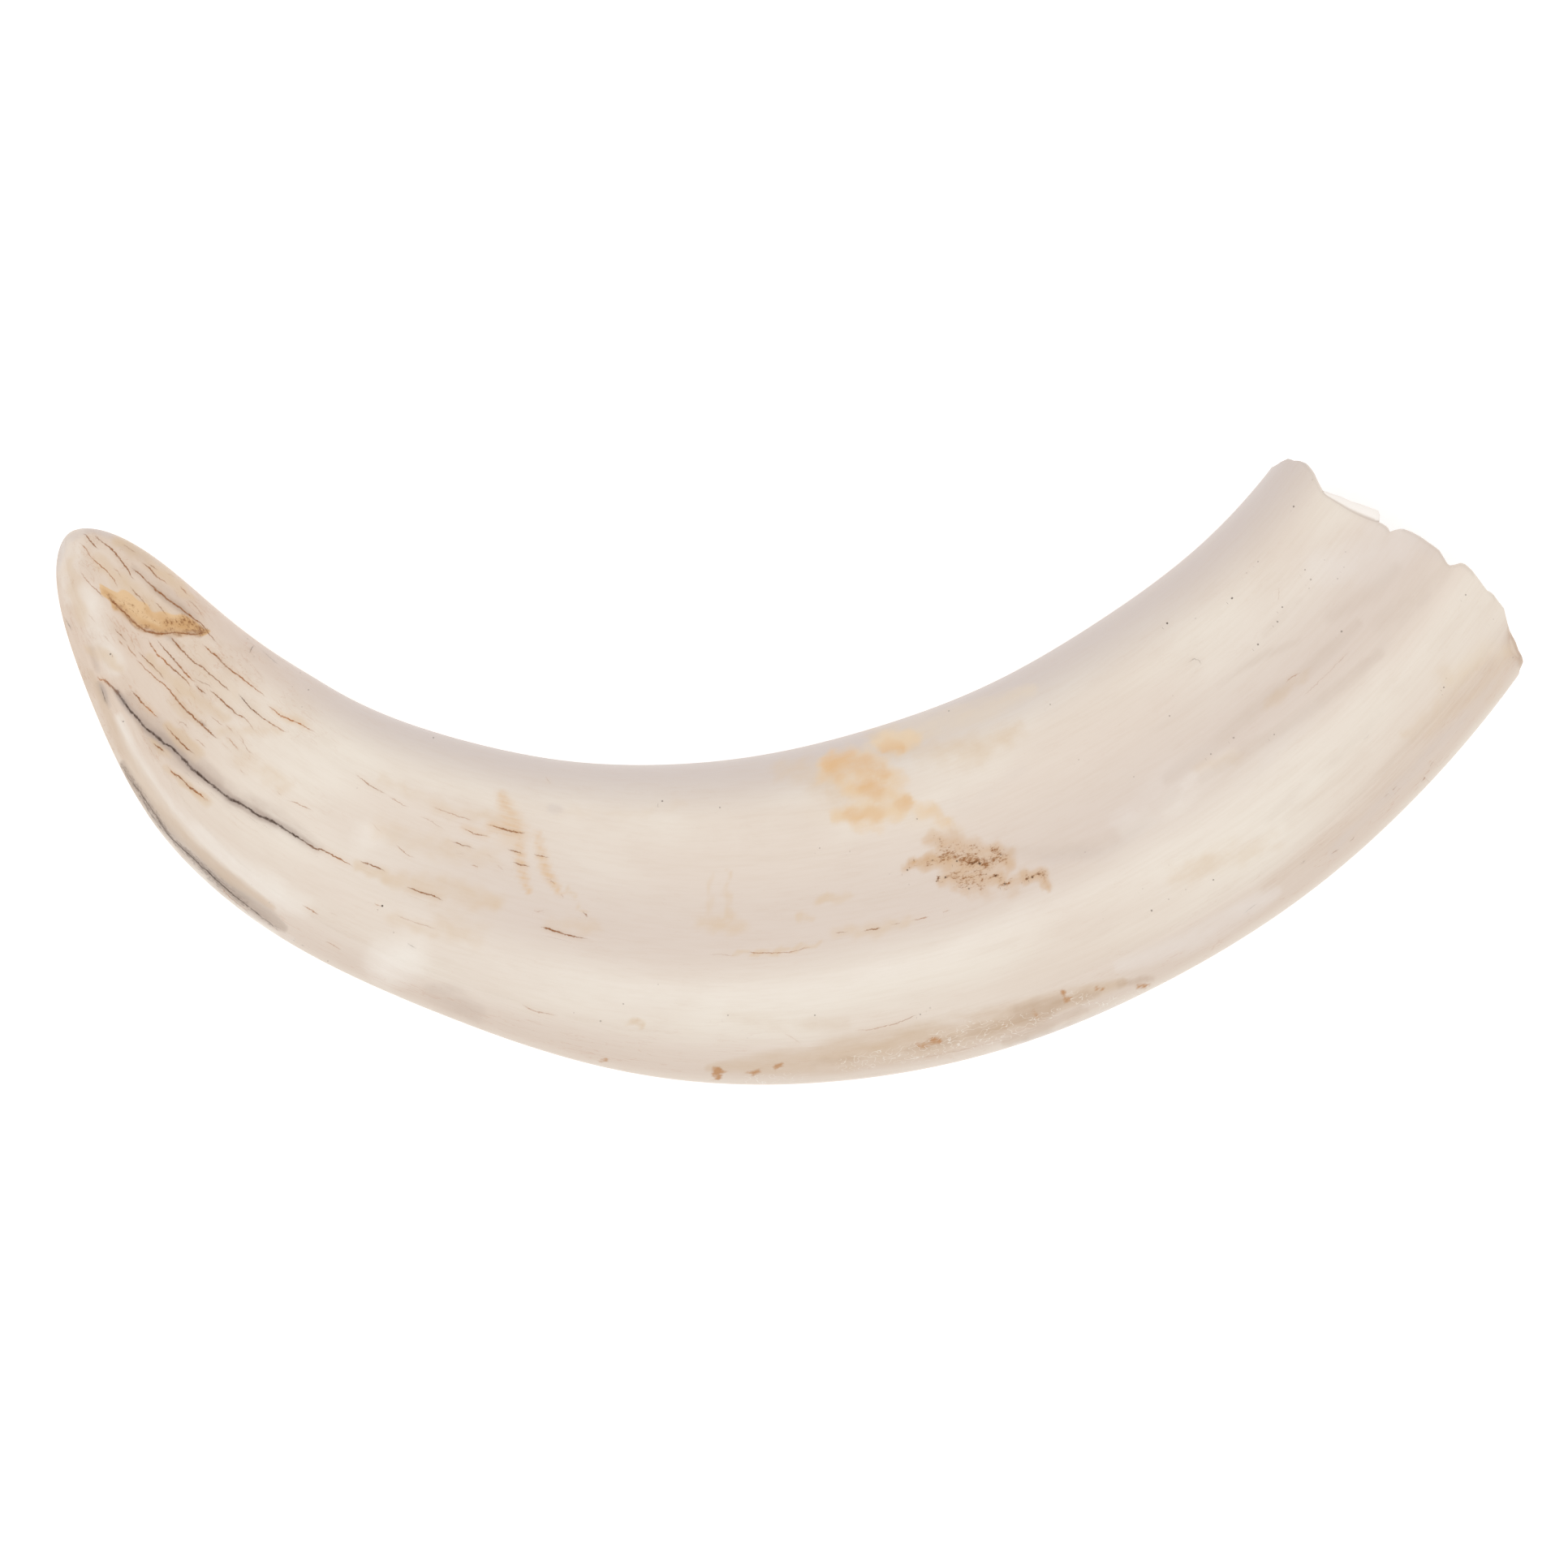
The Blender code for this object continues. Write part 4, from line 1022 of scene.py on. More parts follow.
        (((-7.2, -30.0), (-1.2, -31.2), (6.8, -31.2)), (2.0, 2.6, 2.0), 0.3),
    )),
    Stain("band_shade", colour(184, 154, 126), 0.6, Break.WASHED, smears(
        (((26.4, -33.4), (31.8, -31.4), (36.4, -29.4)), (1.2, 1.8, 1.2), 0.6),
        (((22.4, -32.4), (26.8, -31.2)), (1.8, 2.6), 0.5),
        (((28.4, -30.4), (31.2, -29.5), (33.6, -28.4)), (2.4, 2.6, 1.4), 0.95),
        (((14.8, -34.2), (17.8, -33.6), (20.8, -33.0)), (1.2, 1.5, 1.2), 0.5),
        (((32.8, -28.6), (37.8, -27.4)), (1.4, 1.2), 0.5),
        (((40.8, -26.2), (44.4, -25.6)), (1.1,), 0.5),
        (((2.8, -36.0), (8.8, -35.4)), (1.1,), 0.4),
    ), ruffle=0.15),
    Stain("rust_spots", colour(184, 130, 76), 0.9, Break.MOTTLED, smears(
        (((-9.2, -37.0), (-8.6, -37.2)), (0.8, 0.85), 1.2),
        (((-8.9, -37.7), (-8.7, -37.9)), (0.48,)),
        (((-5.0, -37.1), (-4.0, -37.0)), (0.56,), 0.8),
        (((-2.0, -36.5), (-1.0, -36.4)), (0.56,), 0.8),
        (((17.6, -33.4), (18.2, -33.1)), (1.1,), 0.85),
        (((15.8, -34.0), (16.6, -33.4)), (0.72,), 0.7),
        (((33.8, -27.5), (34.2, -27.9)), (0.8,), 0.95),
        (((37.8, -26.5), (38.8, -27.0)), (0.48,), 0.8),
        (((43.0, -26.3), (44.4, -26.7)), (0.56,), 0.8),
        (((-22.8, -35.4), (-22.2, -35.6)), (0.64,), 0.7),
        (((-19.0, -30.8), (-18.6, -30.8)), (0.72,), 0.4),
        (((26.4, -30.8), (26.8, -31.2)), (0.64,), 0.5),
        (((-72.1, -3.7), (-71.6, -3.8)), (0.5,), 0.4),
        (((30.3, -29.8), (30.7, -30.2)), (0.8,), 0.5),
    ), ruffle=0.25),
    Stain("curls", colour(238, 230, 220), 0.65, Break.CURLED, smears(
        (((-4.7, -38.0), (-1.2, -37.9), (1.8, -37.6)), (0.8,), 0.9),
        (((6.8, -36.2), (12.8, -35.0), (17.8, -34.6)), (1.2, 1.4, 1.4), 0.9),
        (((15.8, -34.4), (20.0, -34.0), (22.8, -33.4)), (1.4,)),
        (((21.8, -31.8), (25.0, -31.6)), (1.2,)),
        (((23.8, -32.6), (29.0, -31.2)), (1.8,)),
        (((34.8, -27.8), (36.8, -28.2)), (0.9,)),
        (((17.8, -32.6), (20.0, -32.8)), (0.8,)),
        (((30.8, -30.6), (32.8, -29.8)), (0.9,), 0.8),
        (((38.3, -29.0), (42.8, -27.6)), (0.9,), 0.8),
    )),
)

# Low forms of the upper side that have no stain: a smear, and how far it rises.
SWELLS = (
    (Smear(((-52.7, -8.3), (-52.3, -8.4)), (2.6,)), 0.14),
    (Smear(((-47.9, -23.1), (-47.3, -23.3)), (3.4,)), 0.14),
    (Smear(((-41.3, -28.2), (-40.7, -28.3)), (4.5,)), -0.3),
    (Smear(((-29.1, -4.6), (-28.9, -4.6)), (0.9,)), -0.1),
)


class Value:
    """A number that varies over a surface, worked with as in ordinary arithmetic."""

    def __init__(self, shader: "Shader", socket: bpy.types.NodeSocket) -> None:
        """Wrap one output socket of a shader."""
        self.shader = shader
        self.socket = socket

    def joined(self, operation: str, first: "Value | float", second: "Value | float") -> "Value":
        """Join two numbers by one Math operation.

        Args:
            operation: the Math node's operation.
            first: its first number.
            second: its second number.

        Returns:
            The result.
        """
        return self.shader.value(
            "ShaderNodeMath", {"operation": operation}, {0: first, 1: second}
        )

    def __add__(self, other: "Value | float") -> "Value":
        """Add."""
        return self.joined("ADD", self, other)

    def __radd__(self, other: float) -> "Value":
        """Add to a plain number."""
        return self.joined("ADD", other, self)

    def __sub__(self, other: "Value | float") -> "Value":
        """Subtract."""
        return self.joined("SUBTRACT", self, other)

    def __rsub__(self, other: float) -> "Value":
        """Subtract from a plain number."""
        return self.joined("SUBTRACT", other, self)

    def __mul__(self, other: "Value | float") -> "Value":
        """Multiply."""
        return self.joined("MULTIPLY", self, other)

    def __rmul__(self, other: float) -> "Value":
        """Multiply a plain number."""
        return self.joined("MULTIPLY", other, self)

    def __abs__(self) -> "Value":
        """Drop the sign."""
        return self.joined("ABSOLUTE", self, 0.0)

    def larger(self, other: "Value | float") -> "Value":
        """Take the larger of two numbers."""
        return self.joined("MAXIMUM", self, other)

    def rise(self, start: "Value | float", end: "Value | float") -> "Value":
        """Rise smoothly from 0 at start to 1 at end, or fall if end comes first.

        Args:
            start: where the result is 0.
            end: where the result is 1.

        Returns:
            The result, 0 to 1.
        """
        return self.shader.value(
            "ShaderNodeMapRange",
            {"interpolation_type": "SMOOTHSTEP"},
            {0: self, 1: start, 2: end, 3: 0.0, 4: 1.0},
        )


@dataclass(frozen=True)
class Noise:
    """A noise: its rate along the tusk against that across it, lump size, detail and roughness."""

    along_rate: float
    size: float
    detail: float
    rough: float


class Shader:
    """One material under construction."""

    def __init__(self, name: str) -> None:
        """Start a material from a plain surface.

        Args:
            name: the material's name.
        """
        self.material = bpy.data.materials.new(name)
        self.material.use_nodes = True
        self.tree = self.material.node_tree
        self.surface = self.tree.nodes["Principled BSDF"]

    def feed(self, socket: bpy.types.NodeSocket, source: object) -> None:
        """Link a value or socket to an input, or set the input to a plain number or colour.

        Args:
            socket: the input.
            source: what it gets.
        """
        if isinstance(source, Value):
            source = source.socket
        if isinstance(source, bpy.types.NodeSocket):
            self.tree.links.new(source, socket)
        else:
            socket.default_value = source

    def add(
        self, kind: str, settings: dict[str, object], inputs: dict[int | str, object]
    ) -> bpy.types.Node:
        """Add a node.

        Args:
            kind: the node's type.
            settings: its settings, which are set first.
            inputs: a value, socket, number or colour for each input, by name or place.

        Returns:
            The new node.
        """
        node = self.tree.nodes.new(kind)
        for name, setting in settings.items():
            setattr(node, name, setting)
        for name, source in inputs.items():
            self.feed(node.inputs[name], source)
        return node

    def value(
        self, kind: str, settings: dict[str, object], inputs: dict[int | str, object]
    ) -> Value:
        """Add a node and take the number from its first output."""
        return Value(self, self.add(kind, settings, inputs).outputs[0])

    def stored(self, name: str) -> bpy.types.NodeSocket:
        """Read a vector that is stored with the mesh."""
        return self.add("ShaderNodeAttribute", {"attribute_name": name}, {}).outputs["Vector"]

    def parts(self, vector: bpy.types.NodeSocket) -> tuple[Value, Value, Value]:
        """Split a vector into its three numbers."""
        node = self.add("ShaderNodeSeparateXYZ", {}, {0: vector})
        return tuple(Value(self, output) for output in node.outputs)

    def noise(self, grain: bpy.types.NodeSocket, kind: Noise) -> Value:
        """Make soft noise about 0.5.

        Args:
            grain: straight coordinates on the tusk, in millimetres.
            kind: which noise it is.

        Returns:
            The noise.
        """
        rates = (kind.along_rate, 1.0, 1.0)
        drawn = self.add("ShaderNodeVectorMath", {"operation": "MULTIPLY"}, {0: grain, 1: rates})
        return self.value(
            "ShaderNodeTexNoise",
            {"noise_dimensions": "3D"},
            {
                "Vector": drawn.outputs[0],
                "Scale": 1.0 / kind.size,
                "Detail": kind.detail,
                "Roughness": kind.rough,
            },
        )

    def blend(self, share: Value | float, under: object, over: object) -> bpy.types.NodeSocket:
        """Lay one colour over another.

        Args:
            share: how much of the upper colour shows, 0 to 1.
            under: the lower colour, plain or linked.
            over: the upper colour, plain or linked.

        Returns:
            The mixed colour's socket.
        """
        node = self.add("ShaderNodeMix", {"data_type": "RGBA"}, {0: share, 6: under, 7: over})
        return node.outputs[2]


class Coat(NamedTuple):
    """What has been laid on the ivory so far: its colour and its relief."""

    base: bpy.types.NodeSocket
    relief: Value


@dataclass(frozen=True)
class Patterns:
    """The noises that the ivory's stains and cracks share."""

    lumps: Value
    grains: Value
    lines: Value
    curls: Value
    wash: Value

    @classmethod
    def on(cls, shader: Shader, grain: bpy.types.NodeSocket) -> "Patterns":
        """Make the noises on straight coordinates, in millimetres.

        Args:
            shader: the ivory's shader.
            grain: straight coordinates on the tusk.

        Returns:
            The noises.
        """
        return cls(
            lumps=shader.noise(grain, Noise(1.0, 0.9, 4.0, 0.7)),
            grains=shader.noise(grain, Noise(0.6, 0.34, 4.0, 0.8)),
            lines=shader.noise(grain, Noise(0.12, 0.55, 3.0, 0.65)),
            curls=shader.noise(grain, Noise(1.0, 0.8, 0.5, 0.5)),
            wash=shader.noise(grain, Noise(0.6, 3.0, 6.0, 0.62)),
        )

    def break_up(self, how: Break, share: Value) -> Value:
        """Break a stain up in its own way.

        Args:
            how: the stain's way of breaking up.
            share: how strong its smears are, 0 to 1.

        Returns:
            How much of the stain shows, 0 to 1.
        """
        if how is Break.SOLID:
            return (share + (self.lumps - 0.5) * 0.12).rise(0.06, 0.26)
        if how is Break.MOTTLED:
            return (share + (self.lumps - 0.5) * 1.1).rise(0.2, 0.85) * share.rise(0.0, 0.2)
        if how is Break.GRANULAR:
            return (share + (self.grains - 0.5) * 2.6).rise(0.45, 1.05) * share.rise(0.0, 0.12)
        if how is Break.STREAKED:
            return share * (0.45 + self.lines.rise(0.38, 0.62) * 0.55)
        if how is Break.WASHED:
            return (share + (self.wash - 0.5) * 1.6).larger(0.0) * share.rise(0.0, 0.5)
        return share.rise(0.0, 0.3) * abs(self.curls - 0.5).rise(0.022, 0.008)


@dataclass(frozen=True)
class IvoryFinish:
    """Old, lightly polished tooth ivory: creamy on the crests, duller and warmer in the furrow,
    with painted shade along both edges and in part of the furrow's colour.
    """

    cream: Colour = colour(236, 226, 213)
    rose: Colour = colour(229, 215, 201)
    # furrow: the furrow's own warmer colour together with painted shade of the groove.
    furrow: Colour = colour(221, 206, 194)
    # The inner and outer edge colours are painted shade where the sides turn away from the light.
    inner_edge_shade: Colour = colour(207, 194, 187)
    outer_edge_shade: Colour = colour(218, 201, 186)
    tip: Colour = colour(221, 199, 180)
    tip_lines: Colour = colour(200, 172, 144)
    brushed: Colour = colour(212, 194, 177)
    hollow: Colour = colour(214, 194, 166)
    fresh: Colour = colour(249, 242, 235)
    crack_grey: Colour = colour(76, 56, 43)
    crack_rust: Colour = colour(182, 114, 56)
    edge_grey: Colour = colour(176, 158, 148)
    edge_rust: Colour = colour(226, 187, 146)
    speck: Colour = colour(56, 36, 20)
    roughness: float = 0.42
    furrow_dullness: float = 0.14
    refraction: float = 1.54
    gloss: float = 0.22
    broad: Noise = Noise(0.4, 12.0, 2.0, 0.5)
    patch: Noise = Noise(0.5, 3.6, 4.0, 0.6)
    brush: Noise = Noise(0.045, 1.7, 4.0, 0.62)
    hair: Noise = Noise(0.14, 1.3, 3.0, 0.6)
    thread: Noise = Noise(0.06, 0.4, 3.0, 0.6)
    wander: Noise = Noise(1.0, 1.0, 5.0, 0.78)
    dash: Noise = Noise(1.0, 0.7, 3.0, 0.7)
    tip_line_cover: float = 0.35
    hair_cover: float = 0.04
    brushed_cover: float = 0.08
    patch_cover: float = 0.12
    thread_cover: float = 0.07
    wander_size: float = 0.62
    line_width: float = 0.055
    line_growth: float = 0.22
    beside_width: float = 0.8
    beside_cover: float = 0.65
    crack_depth: float = 1.2
    speck_raggedness: float = 1.2
    # How strong the painted shadow line at the ledge's step is.
    ledge_shadow_cover: float = 0.3
    thread_relief: float = 0.1
    thread_dullness: float = 0.12
    hollow_dullness: float = 0.2
    bump_strength: float = 0.35
    bump_distance: float = 0.0003

    def bare(self, shader: Shader, grain: bpy.types.NodeSocket) -> bpy.types.NodeSocket:
        """Make the ivory's colour before its stains and cracks, with painted shade along both edges
        and partly in the furrow.

        Args:
            shader: the ivory's shader.
            grain: straight coordinates on the tusk, in millimetres.

        Returns:
            The colour's socket.
        """
        furrow, inner_edge_shade, tip = shader.parts(shader.stored("zones"))
        outer_edge_shade = shader.parts(shader.stored("places"))[1]
        broad = shader.noise(grain, self.broad)
        brushed = shader.noise(grain, self.brush)
        patches = shader.noise(grain, self.patch)
        base = shader.blend(broad.rise(0.35, 0.65), self.cream, self.rose)
        # The furrow's colour is partly painted shade of the groove.
        base = shader.blend(furrow, base, self.furrow)
        # Painted shade along the inner and outer edges.
        base = shader.blend(inner_edge_shade, base, self.inner_edge_shade)
        base = shader.blend(outer_edge_shade, base, self.outer_edge_shade)
        base = shader.blend(tip * (0.5 + broad * 0.6), base, self.tip)
        lines = tip * patches.rise(0.42, 0.7) * self.tip_line_cover
        base = shader.blend(lines, base, self.tip_lines)
        hairs = abs(shader.noise(grain, self.hair) - 0.5).rise(0.014, 0.002)
        hairs = hairs * patches.rise(0.4, 0.6)
        places = tip * 0.3 + outer_edge_shade * 0.2 + self.hair_cover
        base = shader.blend(hairs * places, base, self.crack_rust)
        base = shader.blend(brushed.rise(0.42, 0.72) * self.brushed_cover, base, self.brushed)
        return shader.blend(patches.rise(0.5, 0.75) * self.patch_cover, base, self.brushed)

    def stained(
        self, shader: Shader, patterns: Patterns, base: bpy.types.NodeSocket
    ) -> bpy.types.NodeSocket:
        """Lay every stain over the ivory.

        Args:
            shader: the ivory's shader.
            patterns: the noises that break the stains up.
            base: the colour under the stains.

        Returns:
            The colour's socket.
        """
        shares = []
        for number in range(math.ceil(len(STAINS) / VECTOR_SIZE)):
            shares.extend(shader.parts(shader.stored(f"stains_{number}")))
        for stain, share in zip(STAINS, shares):
            shown = patterns.break_up(stain.broken, share)
            base = shader.blend(shown * stain.cover, base, stain.tint)
        return base

    def cracked(
        self, shader: Shader, grain: bpy.types.NodeSocket, coat: Coat, layers: int
    ) -> Coat:
        """Draw the cracks, with the paler colour beside them, and sink them.

        Args:
            shader: the ivory's shader.
            grain: straight coordinates on the tusk, in millimetres.
            coat: the colour and relief without the cracks.
            layers: how many layers of cracks are stored with the mesh.

        Returns:
            The colour and relief with the cracks.
        """
        base, relief = coat
        wander = (shader.noise(grain, self.wander) - 0.5) * self.wander_size
        dashes = shader.noise(grain, self.dash).rise(0.32, 0.62)
        for number in range(layers):
            distance, tone, strength = shader.parts(shader.stored(f"cracks_{number}"))
            beside = abs(distance).rise(self.beside_width, 0.05) * strength * strength
            edge_colour = shader.blend(tone, self.edge_grey, self.edge_rust)
            base = shader.blend(beside * self.beside_cover, base, edge_colour)
            width = self.line_width + strength * strength * self.line_growth
            width = width * (0.75 + dashes * 0.4)
            line = abs(distance + wander).rise(width, width * 0.15)
            shown = strength * (0.9 + strength * 1.6)
            cover = line * shown.rise(0.0, 1.0) * (0.6 + dashes * 0.4)
            line_colour = shader.blend(tone, self.crack_grey, self.crack_rust)
            base = shader.blend(cover, base, line_colour)
            relief = relief - cover * self.crack_depth
        return Coat(base, relief)

    def pitted(self, shader: Shader, grains: Value, coat: Coat, layers: int) -> Coat:
        """Draw the specks and sink them.

        Args:
            shader: the ivory's shader.
            grains: the noise that makes the specks ragged.
            coat: the colour and relief without the specks.
            layers: how many layers of specks are stored with the mesh.

        Returns:
            The colour and relief with the specks.
        """
        base, relief = coat
        for number in range(layers):
            east, north, dark = shader.parts(shader.stored(f"specks_{number}"))
            ragged = (grains - 0.5) * self.speck_raggedness
            pit = (east * east + north * north + ragged).rise(0.75, 0.1) * dark.rise(0.0, 1.0)
            base = shader.blend(pit, base, self.speck)
            relief = relief - pit
        return Coat(base, relief)

    def build(self, crack_layers: int, speck_layers: int) -> bpy.types.Material:
        """Make the ivory's material.

        Args:
            crack_layers: how many layers of cracks are stored with the mesh.
            speck_layers: how many layers of specks are stored with the mesh.

        Returns:
            The material.
        """
        shader = Shader("old_ivory")
        grain = shader.stored("straight")
        furrow = shader.parts(shader.stored("zones"))[0]
        hollow, _, fresh = shader.parts(shader.stored("places"))
        patterns = Patterns.on(shader, grain)
        threads = shader.noise(grain, self.thread)
        base = self.bare(shader, grain)
        base = shader.blend(threads.rise(0.4, 0.7) * self.thread_cover, base, self.tip_lines)
        base = self.stained(shader, patterns, base)
        coat = Coat(base, threads * self.thread_relief)
        coat = self.cracked(shader, grain, coat, crack_layers)
        base, relief = self.pitted(shader, patterns.grains, coat, speck_layers)
        base = shader.blend(hollow, base, self.hollow)
        base = shader.blend(fresh.rise(0.05, 0.4), base, self.fresh)
        # Painted shadow: a dark line where the broken face's step meets the outer layer.
        ledge_shadow_line = fresh.rise(0.0, 0.06) * fresh.rise(0.3, 0.1)
        base = shader.blend(ledge_shadow_line * self.ledge_shadow_cover, base, self.edge_grey)

        surface = shader.surface.inputs
        shader.feed(surface["Base Color"], base)
        dull = self.roughness + furrow * self.furrow_dullness
        dull = dull + (threads - 0.5) * self.thread_dullness + hollow * self.hollow_dullness
        shader.feed(surface["Roughness"], dull)
        bump = shader.add(
            "ShaderNodeBump",
            {},
            {"Strength": self.bump_strength, "Distance": self.bump_distance, "Height": relief},
        )
        shader.feed(surface["Normal"], bump.outputs["Normal"])
        surface["IOR"].default_value = self.refraction
        surface["Specular IOR Level"].default_value = self.gloss
        return shader.material


@dataclass(frozen=True)
class Skin:
    """The tusk's vertices while they are sculpted, as arrays with one entry for each vertex."""

    path: np.ndarray
    turn: np.ndarray
    along: np.ndarray
    across: np.ndarray
    height: np.ndarray
    points: np.ndarray


@dataclass(frozen=True)
class Tusk:
    """The tusk: grown straight as a coarse cage, divided finely, then sculpted and bent."""

    form: TuskForm = TuskForm()
    viewpoint: Viewpoint = Viewpoint()
    finish: IvoryFinish = IvoryFinish()
    spokes: int = 24
    divisions: int = 3
    tip_rings: int = 5
    tip_end: float = 10.0
    fore_rings: int = 16
    fore_end: float = 60.0
    rear_rings: int = 30
    lip: float = 1.0
    cavity_rings: int = 8
    crowding: float = 0.35
    crack_reach: float = 1.1
    crack_slack: float = 0.3
    speck_reach: float = 1.1
    speck_fade: float = 0.7
    clearance: float = 2.4
    nowhere: float = 9.0
    nose_draw: float = 0.35
    nose_draw_end: float = 24.0
    swell_fade: float = 2.0
    smooth_angle_deg: float = 60.0
    hollow_fade: tuple[float, float] = (4.0, 18.0)
    upper_fade: tuple[float, float] = (-1.5, 0.5)
    furrow_lift: tuple[float, float] = (0.2, 0.8)
    furrow_fade: tuple[float, float] = (44.0, 78.0)
    tip_fade: tuple[float, float] = (6.0, 54.0)
    worn_fade: tuple[float, float] = (1.0, 16.0)
    worn_share: float = 0.7
    # Where the painted shade along the edges starts and fades.
    inner_shade_fade: tuple[float, float] = (0.6, 1.0)
    outer_shade_fade: tuple[float, float] = (0.62, 0.93)
    outer_shade_start: tuple[float, float] = (20.0, 60.0)
    outer_shade_drop: float = 0.8
    fresh_fade: tuple[float, float] = (0.0, 0.5)

    def ring_paths(self) -> list[float]:
        """List how far from the tip each ring is, over the rim and down into the hollow.

        Returns:
            The rings' paths, from the tip inwards.
        """
        tip = [self.tip_end * (n / self.tip_rings) ** 2 for n in range(1, self.tip_rings + 1)]
        fore = np.linspace(self.tip_end, self.fore_end, self.fore_rings + 1)[1:]
        rear = np.linspace(self.fore_end, self.form.length, self.rear_rings + 1)[1:]
        start = self.form.length + self.lip
        share = np.arange(self.cavity_rings) / self.cavity_rings
        return [*tip, *fore, *rear, *(start + self.form.cavity_depth * share)]

    def trunk(self, path: np.ndarray) -> tuple[np.ndarray, np.ndarray]:
        """Turn a path over the skin into a place along the tusk and a share of the section.

        Args:
            path: how far each place is from the tip, along the skin.

        Returns:
            The distance along the tusk before the rim's reach, and the share of the section.
        """
        form = self.form
        lip_share = np.clip((path - form.length) / self.lip, 0.0, 1.0)
        inward = np.maximum(path - form.length - self.lip, 0.0)
        wall_share = 2.0 * form.rim_wall / form.breadths[-1]
        left = 1.0 - np.clip(inward / form.cavity_depth, 0.0, 1.0) ** form.cavity_power
        outside = np.minimum(path, form.length)
        scale = form.nose_share(outside) * (1.0 - wall_share * lip_share) * left
        lip_round = form.rim_rounding * (np.sin(math.pi * lip_share) - lip_share)
        return outside + lip_round - inward, scale

    def grow_cage(self) -> bpy.types.Object:
        """Extrude the coarse straight tusk ring by ring and close both its ends.

        Returns:
            The cage, with each vertex's path from the tip stored.
        """
        paths = np.array(self.ring_paths())
        along, scale = self.trunk(paths)
        half_breadth, half_depth = self.form.half_sizes(along)
        breadths = half_breadth * scale * METRES
        depths = half_depth * scale * METRES
        places = along * METRES
        bpy.ops.object.select_all(action="DESELECT")
        bpy.ops.mesh.primitive_circle_add(
            vertices=self.spokes,
            radius=breadths[0],
            fill_type="NOTHING",
            location=(places[0], 0.0, 0.0),
            rotation=(0.0, math.pi / 2.0, 0.0),
        )
        cage = bpy.context.object
        cage.name = "tusk_skin"
        cage.data.name = "tusk_skin"
        bpy.ops.object.transform_apply(location=True, rotation=True, scale=True)
        bpy.ops.object.mode_set(mode="EDIT")
        bpy.ops.mesh.select_all(action="SELECT")
        bpy.ops.transform.resize(
            value=(1.0, 1.0, depths[0] / breadths[0]), center_override=(places[0], 0.0, 0.0)
        )
        for before, after in pairwise(range(len(paths))):
            move = (places[after] - places[before], 0.0, 0.0)
            bpy.ops.mesh.extrude_region_move(TRANSFORM_OT_translate={"value": move})
            bpy.ops.transform.resize(
                value=(1.0, breadths[after] / breadths[before], depths[after] / depths[before]),
                center_override=(places[after], 0.0, 0.0),
            )
        self.close_ring(-self.form.cavity_depth / self.cavity_rings)
        bpy.ops.mesh.select_all(action="DESELECT")
        bpy.ops.mesh.select_non_manifold()
        self.close_ring(-along[0])
        bpy.ops.mesh.select_all(action="SELECT")
        bpy.ops.mesh.normals_make_consistent(inside=False)
        bpy.ops.object.mode_set(mode="OBJECT")
        self.store_paths(cage, paths)
        return cage

    def close_ring(self, move: float) -> None:
        """Extrude the selected ring along the tusk and draw it together into one vertex.

        Args:
            move: how far along the tusk the vertex is from the ring.
        """
        bpy.ops.mesh.extrude_region_move(
            TRANSFORM_OT_translate={"value": (move * METRES, 0.0, 0.0)}
        )
        bpy.ops.mesh.merge(type="CENTER")

    def store_paths(self, cage: bpy.types.Object, paths: np.ndarray) -> None:
        """Store each vertex's path. The rings' vertices come first, in the order of their making.

        Args:
            cage: the coarse tusk.
            paths: the path of each ring.
        """
        flat = np.empty(3 * len(cage.data.vertices))
        cage.data.vertices.foreach_get("co", flat)
        points = flat.reshape(-1, 3)
        stored = np.repeat(paths, self.spokes)
        poles = points[len(stored):, 0]
        end = self.form.length + self.lip + self.form.cavity_depth
        pole_paths = np.where(poles < 0.5 * self.form.length * METRES, 0.0, end)
        attribute = cage.data.attributes.new("path", "FLOAT", "POINT")
        attribute.data.foreach_set("value", np.concatenate((stored, pole_paths)))

    def divide(self, cage: bpy.types.Object) -> None:
        """Divide the cage finely, without rounding it.

        Args:
            cage: the coarse tusk.
        """
        modifier = cage.modifiers.new("fine", "SUBSURF")
        modifier.subdivision_type = "SIMPLE"
        modifier.levels = self.divisions
        modifier.render_levels = self.divisions
        bpy.ops.object.modifier_apply(modifier=modifier.name)

    def sculpt(self, tusk: bpy.types.Object) -> Skin:
        """Give every vertex its place on the real tusk.

        Args:
            tusk: the finely divided cage.

        Returns:
            The sculpted vertices.
        """
        form = self.form
        count = len(tusk.data.vertices)
        flat = np.empty(3 * count)
        tusk.data.vertices.foreach_get("co", flat)
        rest = flat.reshape(-1, 3)
        path = np.empty(count)
        tusk.data.attributes["path"].data.foreach_get("value", path)
        trunk, scale = self.trunk(path)
        half_breadth, half_depth = form.half_sizes(trunk)
        turn = np.arctan2(rest[:, 2] / half_depth, rest[:, 1] / half_breadth)
        turn = turn + self.crowding * np.cos(turn)
        blend = smooth_step(trunk, form.length - form.rim_blend, form.length)
        along = trunk + form.rim_reach(turn) * blend
        along = along + form.ledge_reach(turn) * form.broken_share(path)
        outside = path <= form.length
        scale = np.where(outside, form.nose_share(along), scale)
        along = along - self.nose_draw * (1.0 - smooth_step(trunk, 0.0, self.nose_draw_end))
        across, height = form.section(np.maximum(along, 0.0), turn, scale)
        cut_across, cut_height = form.wear_facet(np.maximum(along, 0.0), across, height, scale)
        across = np.where(outside, cut_across, across)
        height = np.where(outside, cut_height, height)
        points = form.place(along, across, height)
        height = height + self.swell(points, height) * outside
        points = form.place(along, across, height)
        points[:, 2] = np.maximum(points[:, 2], 0.0)
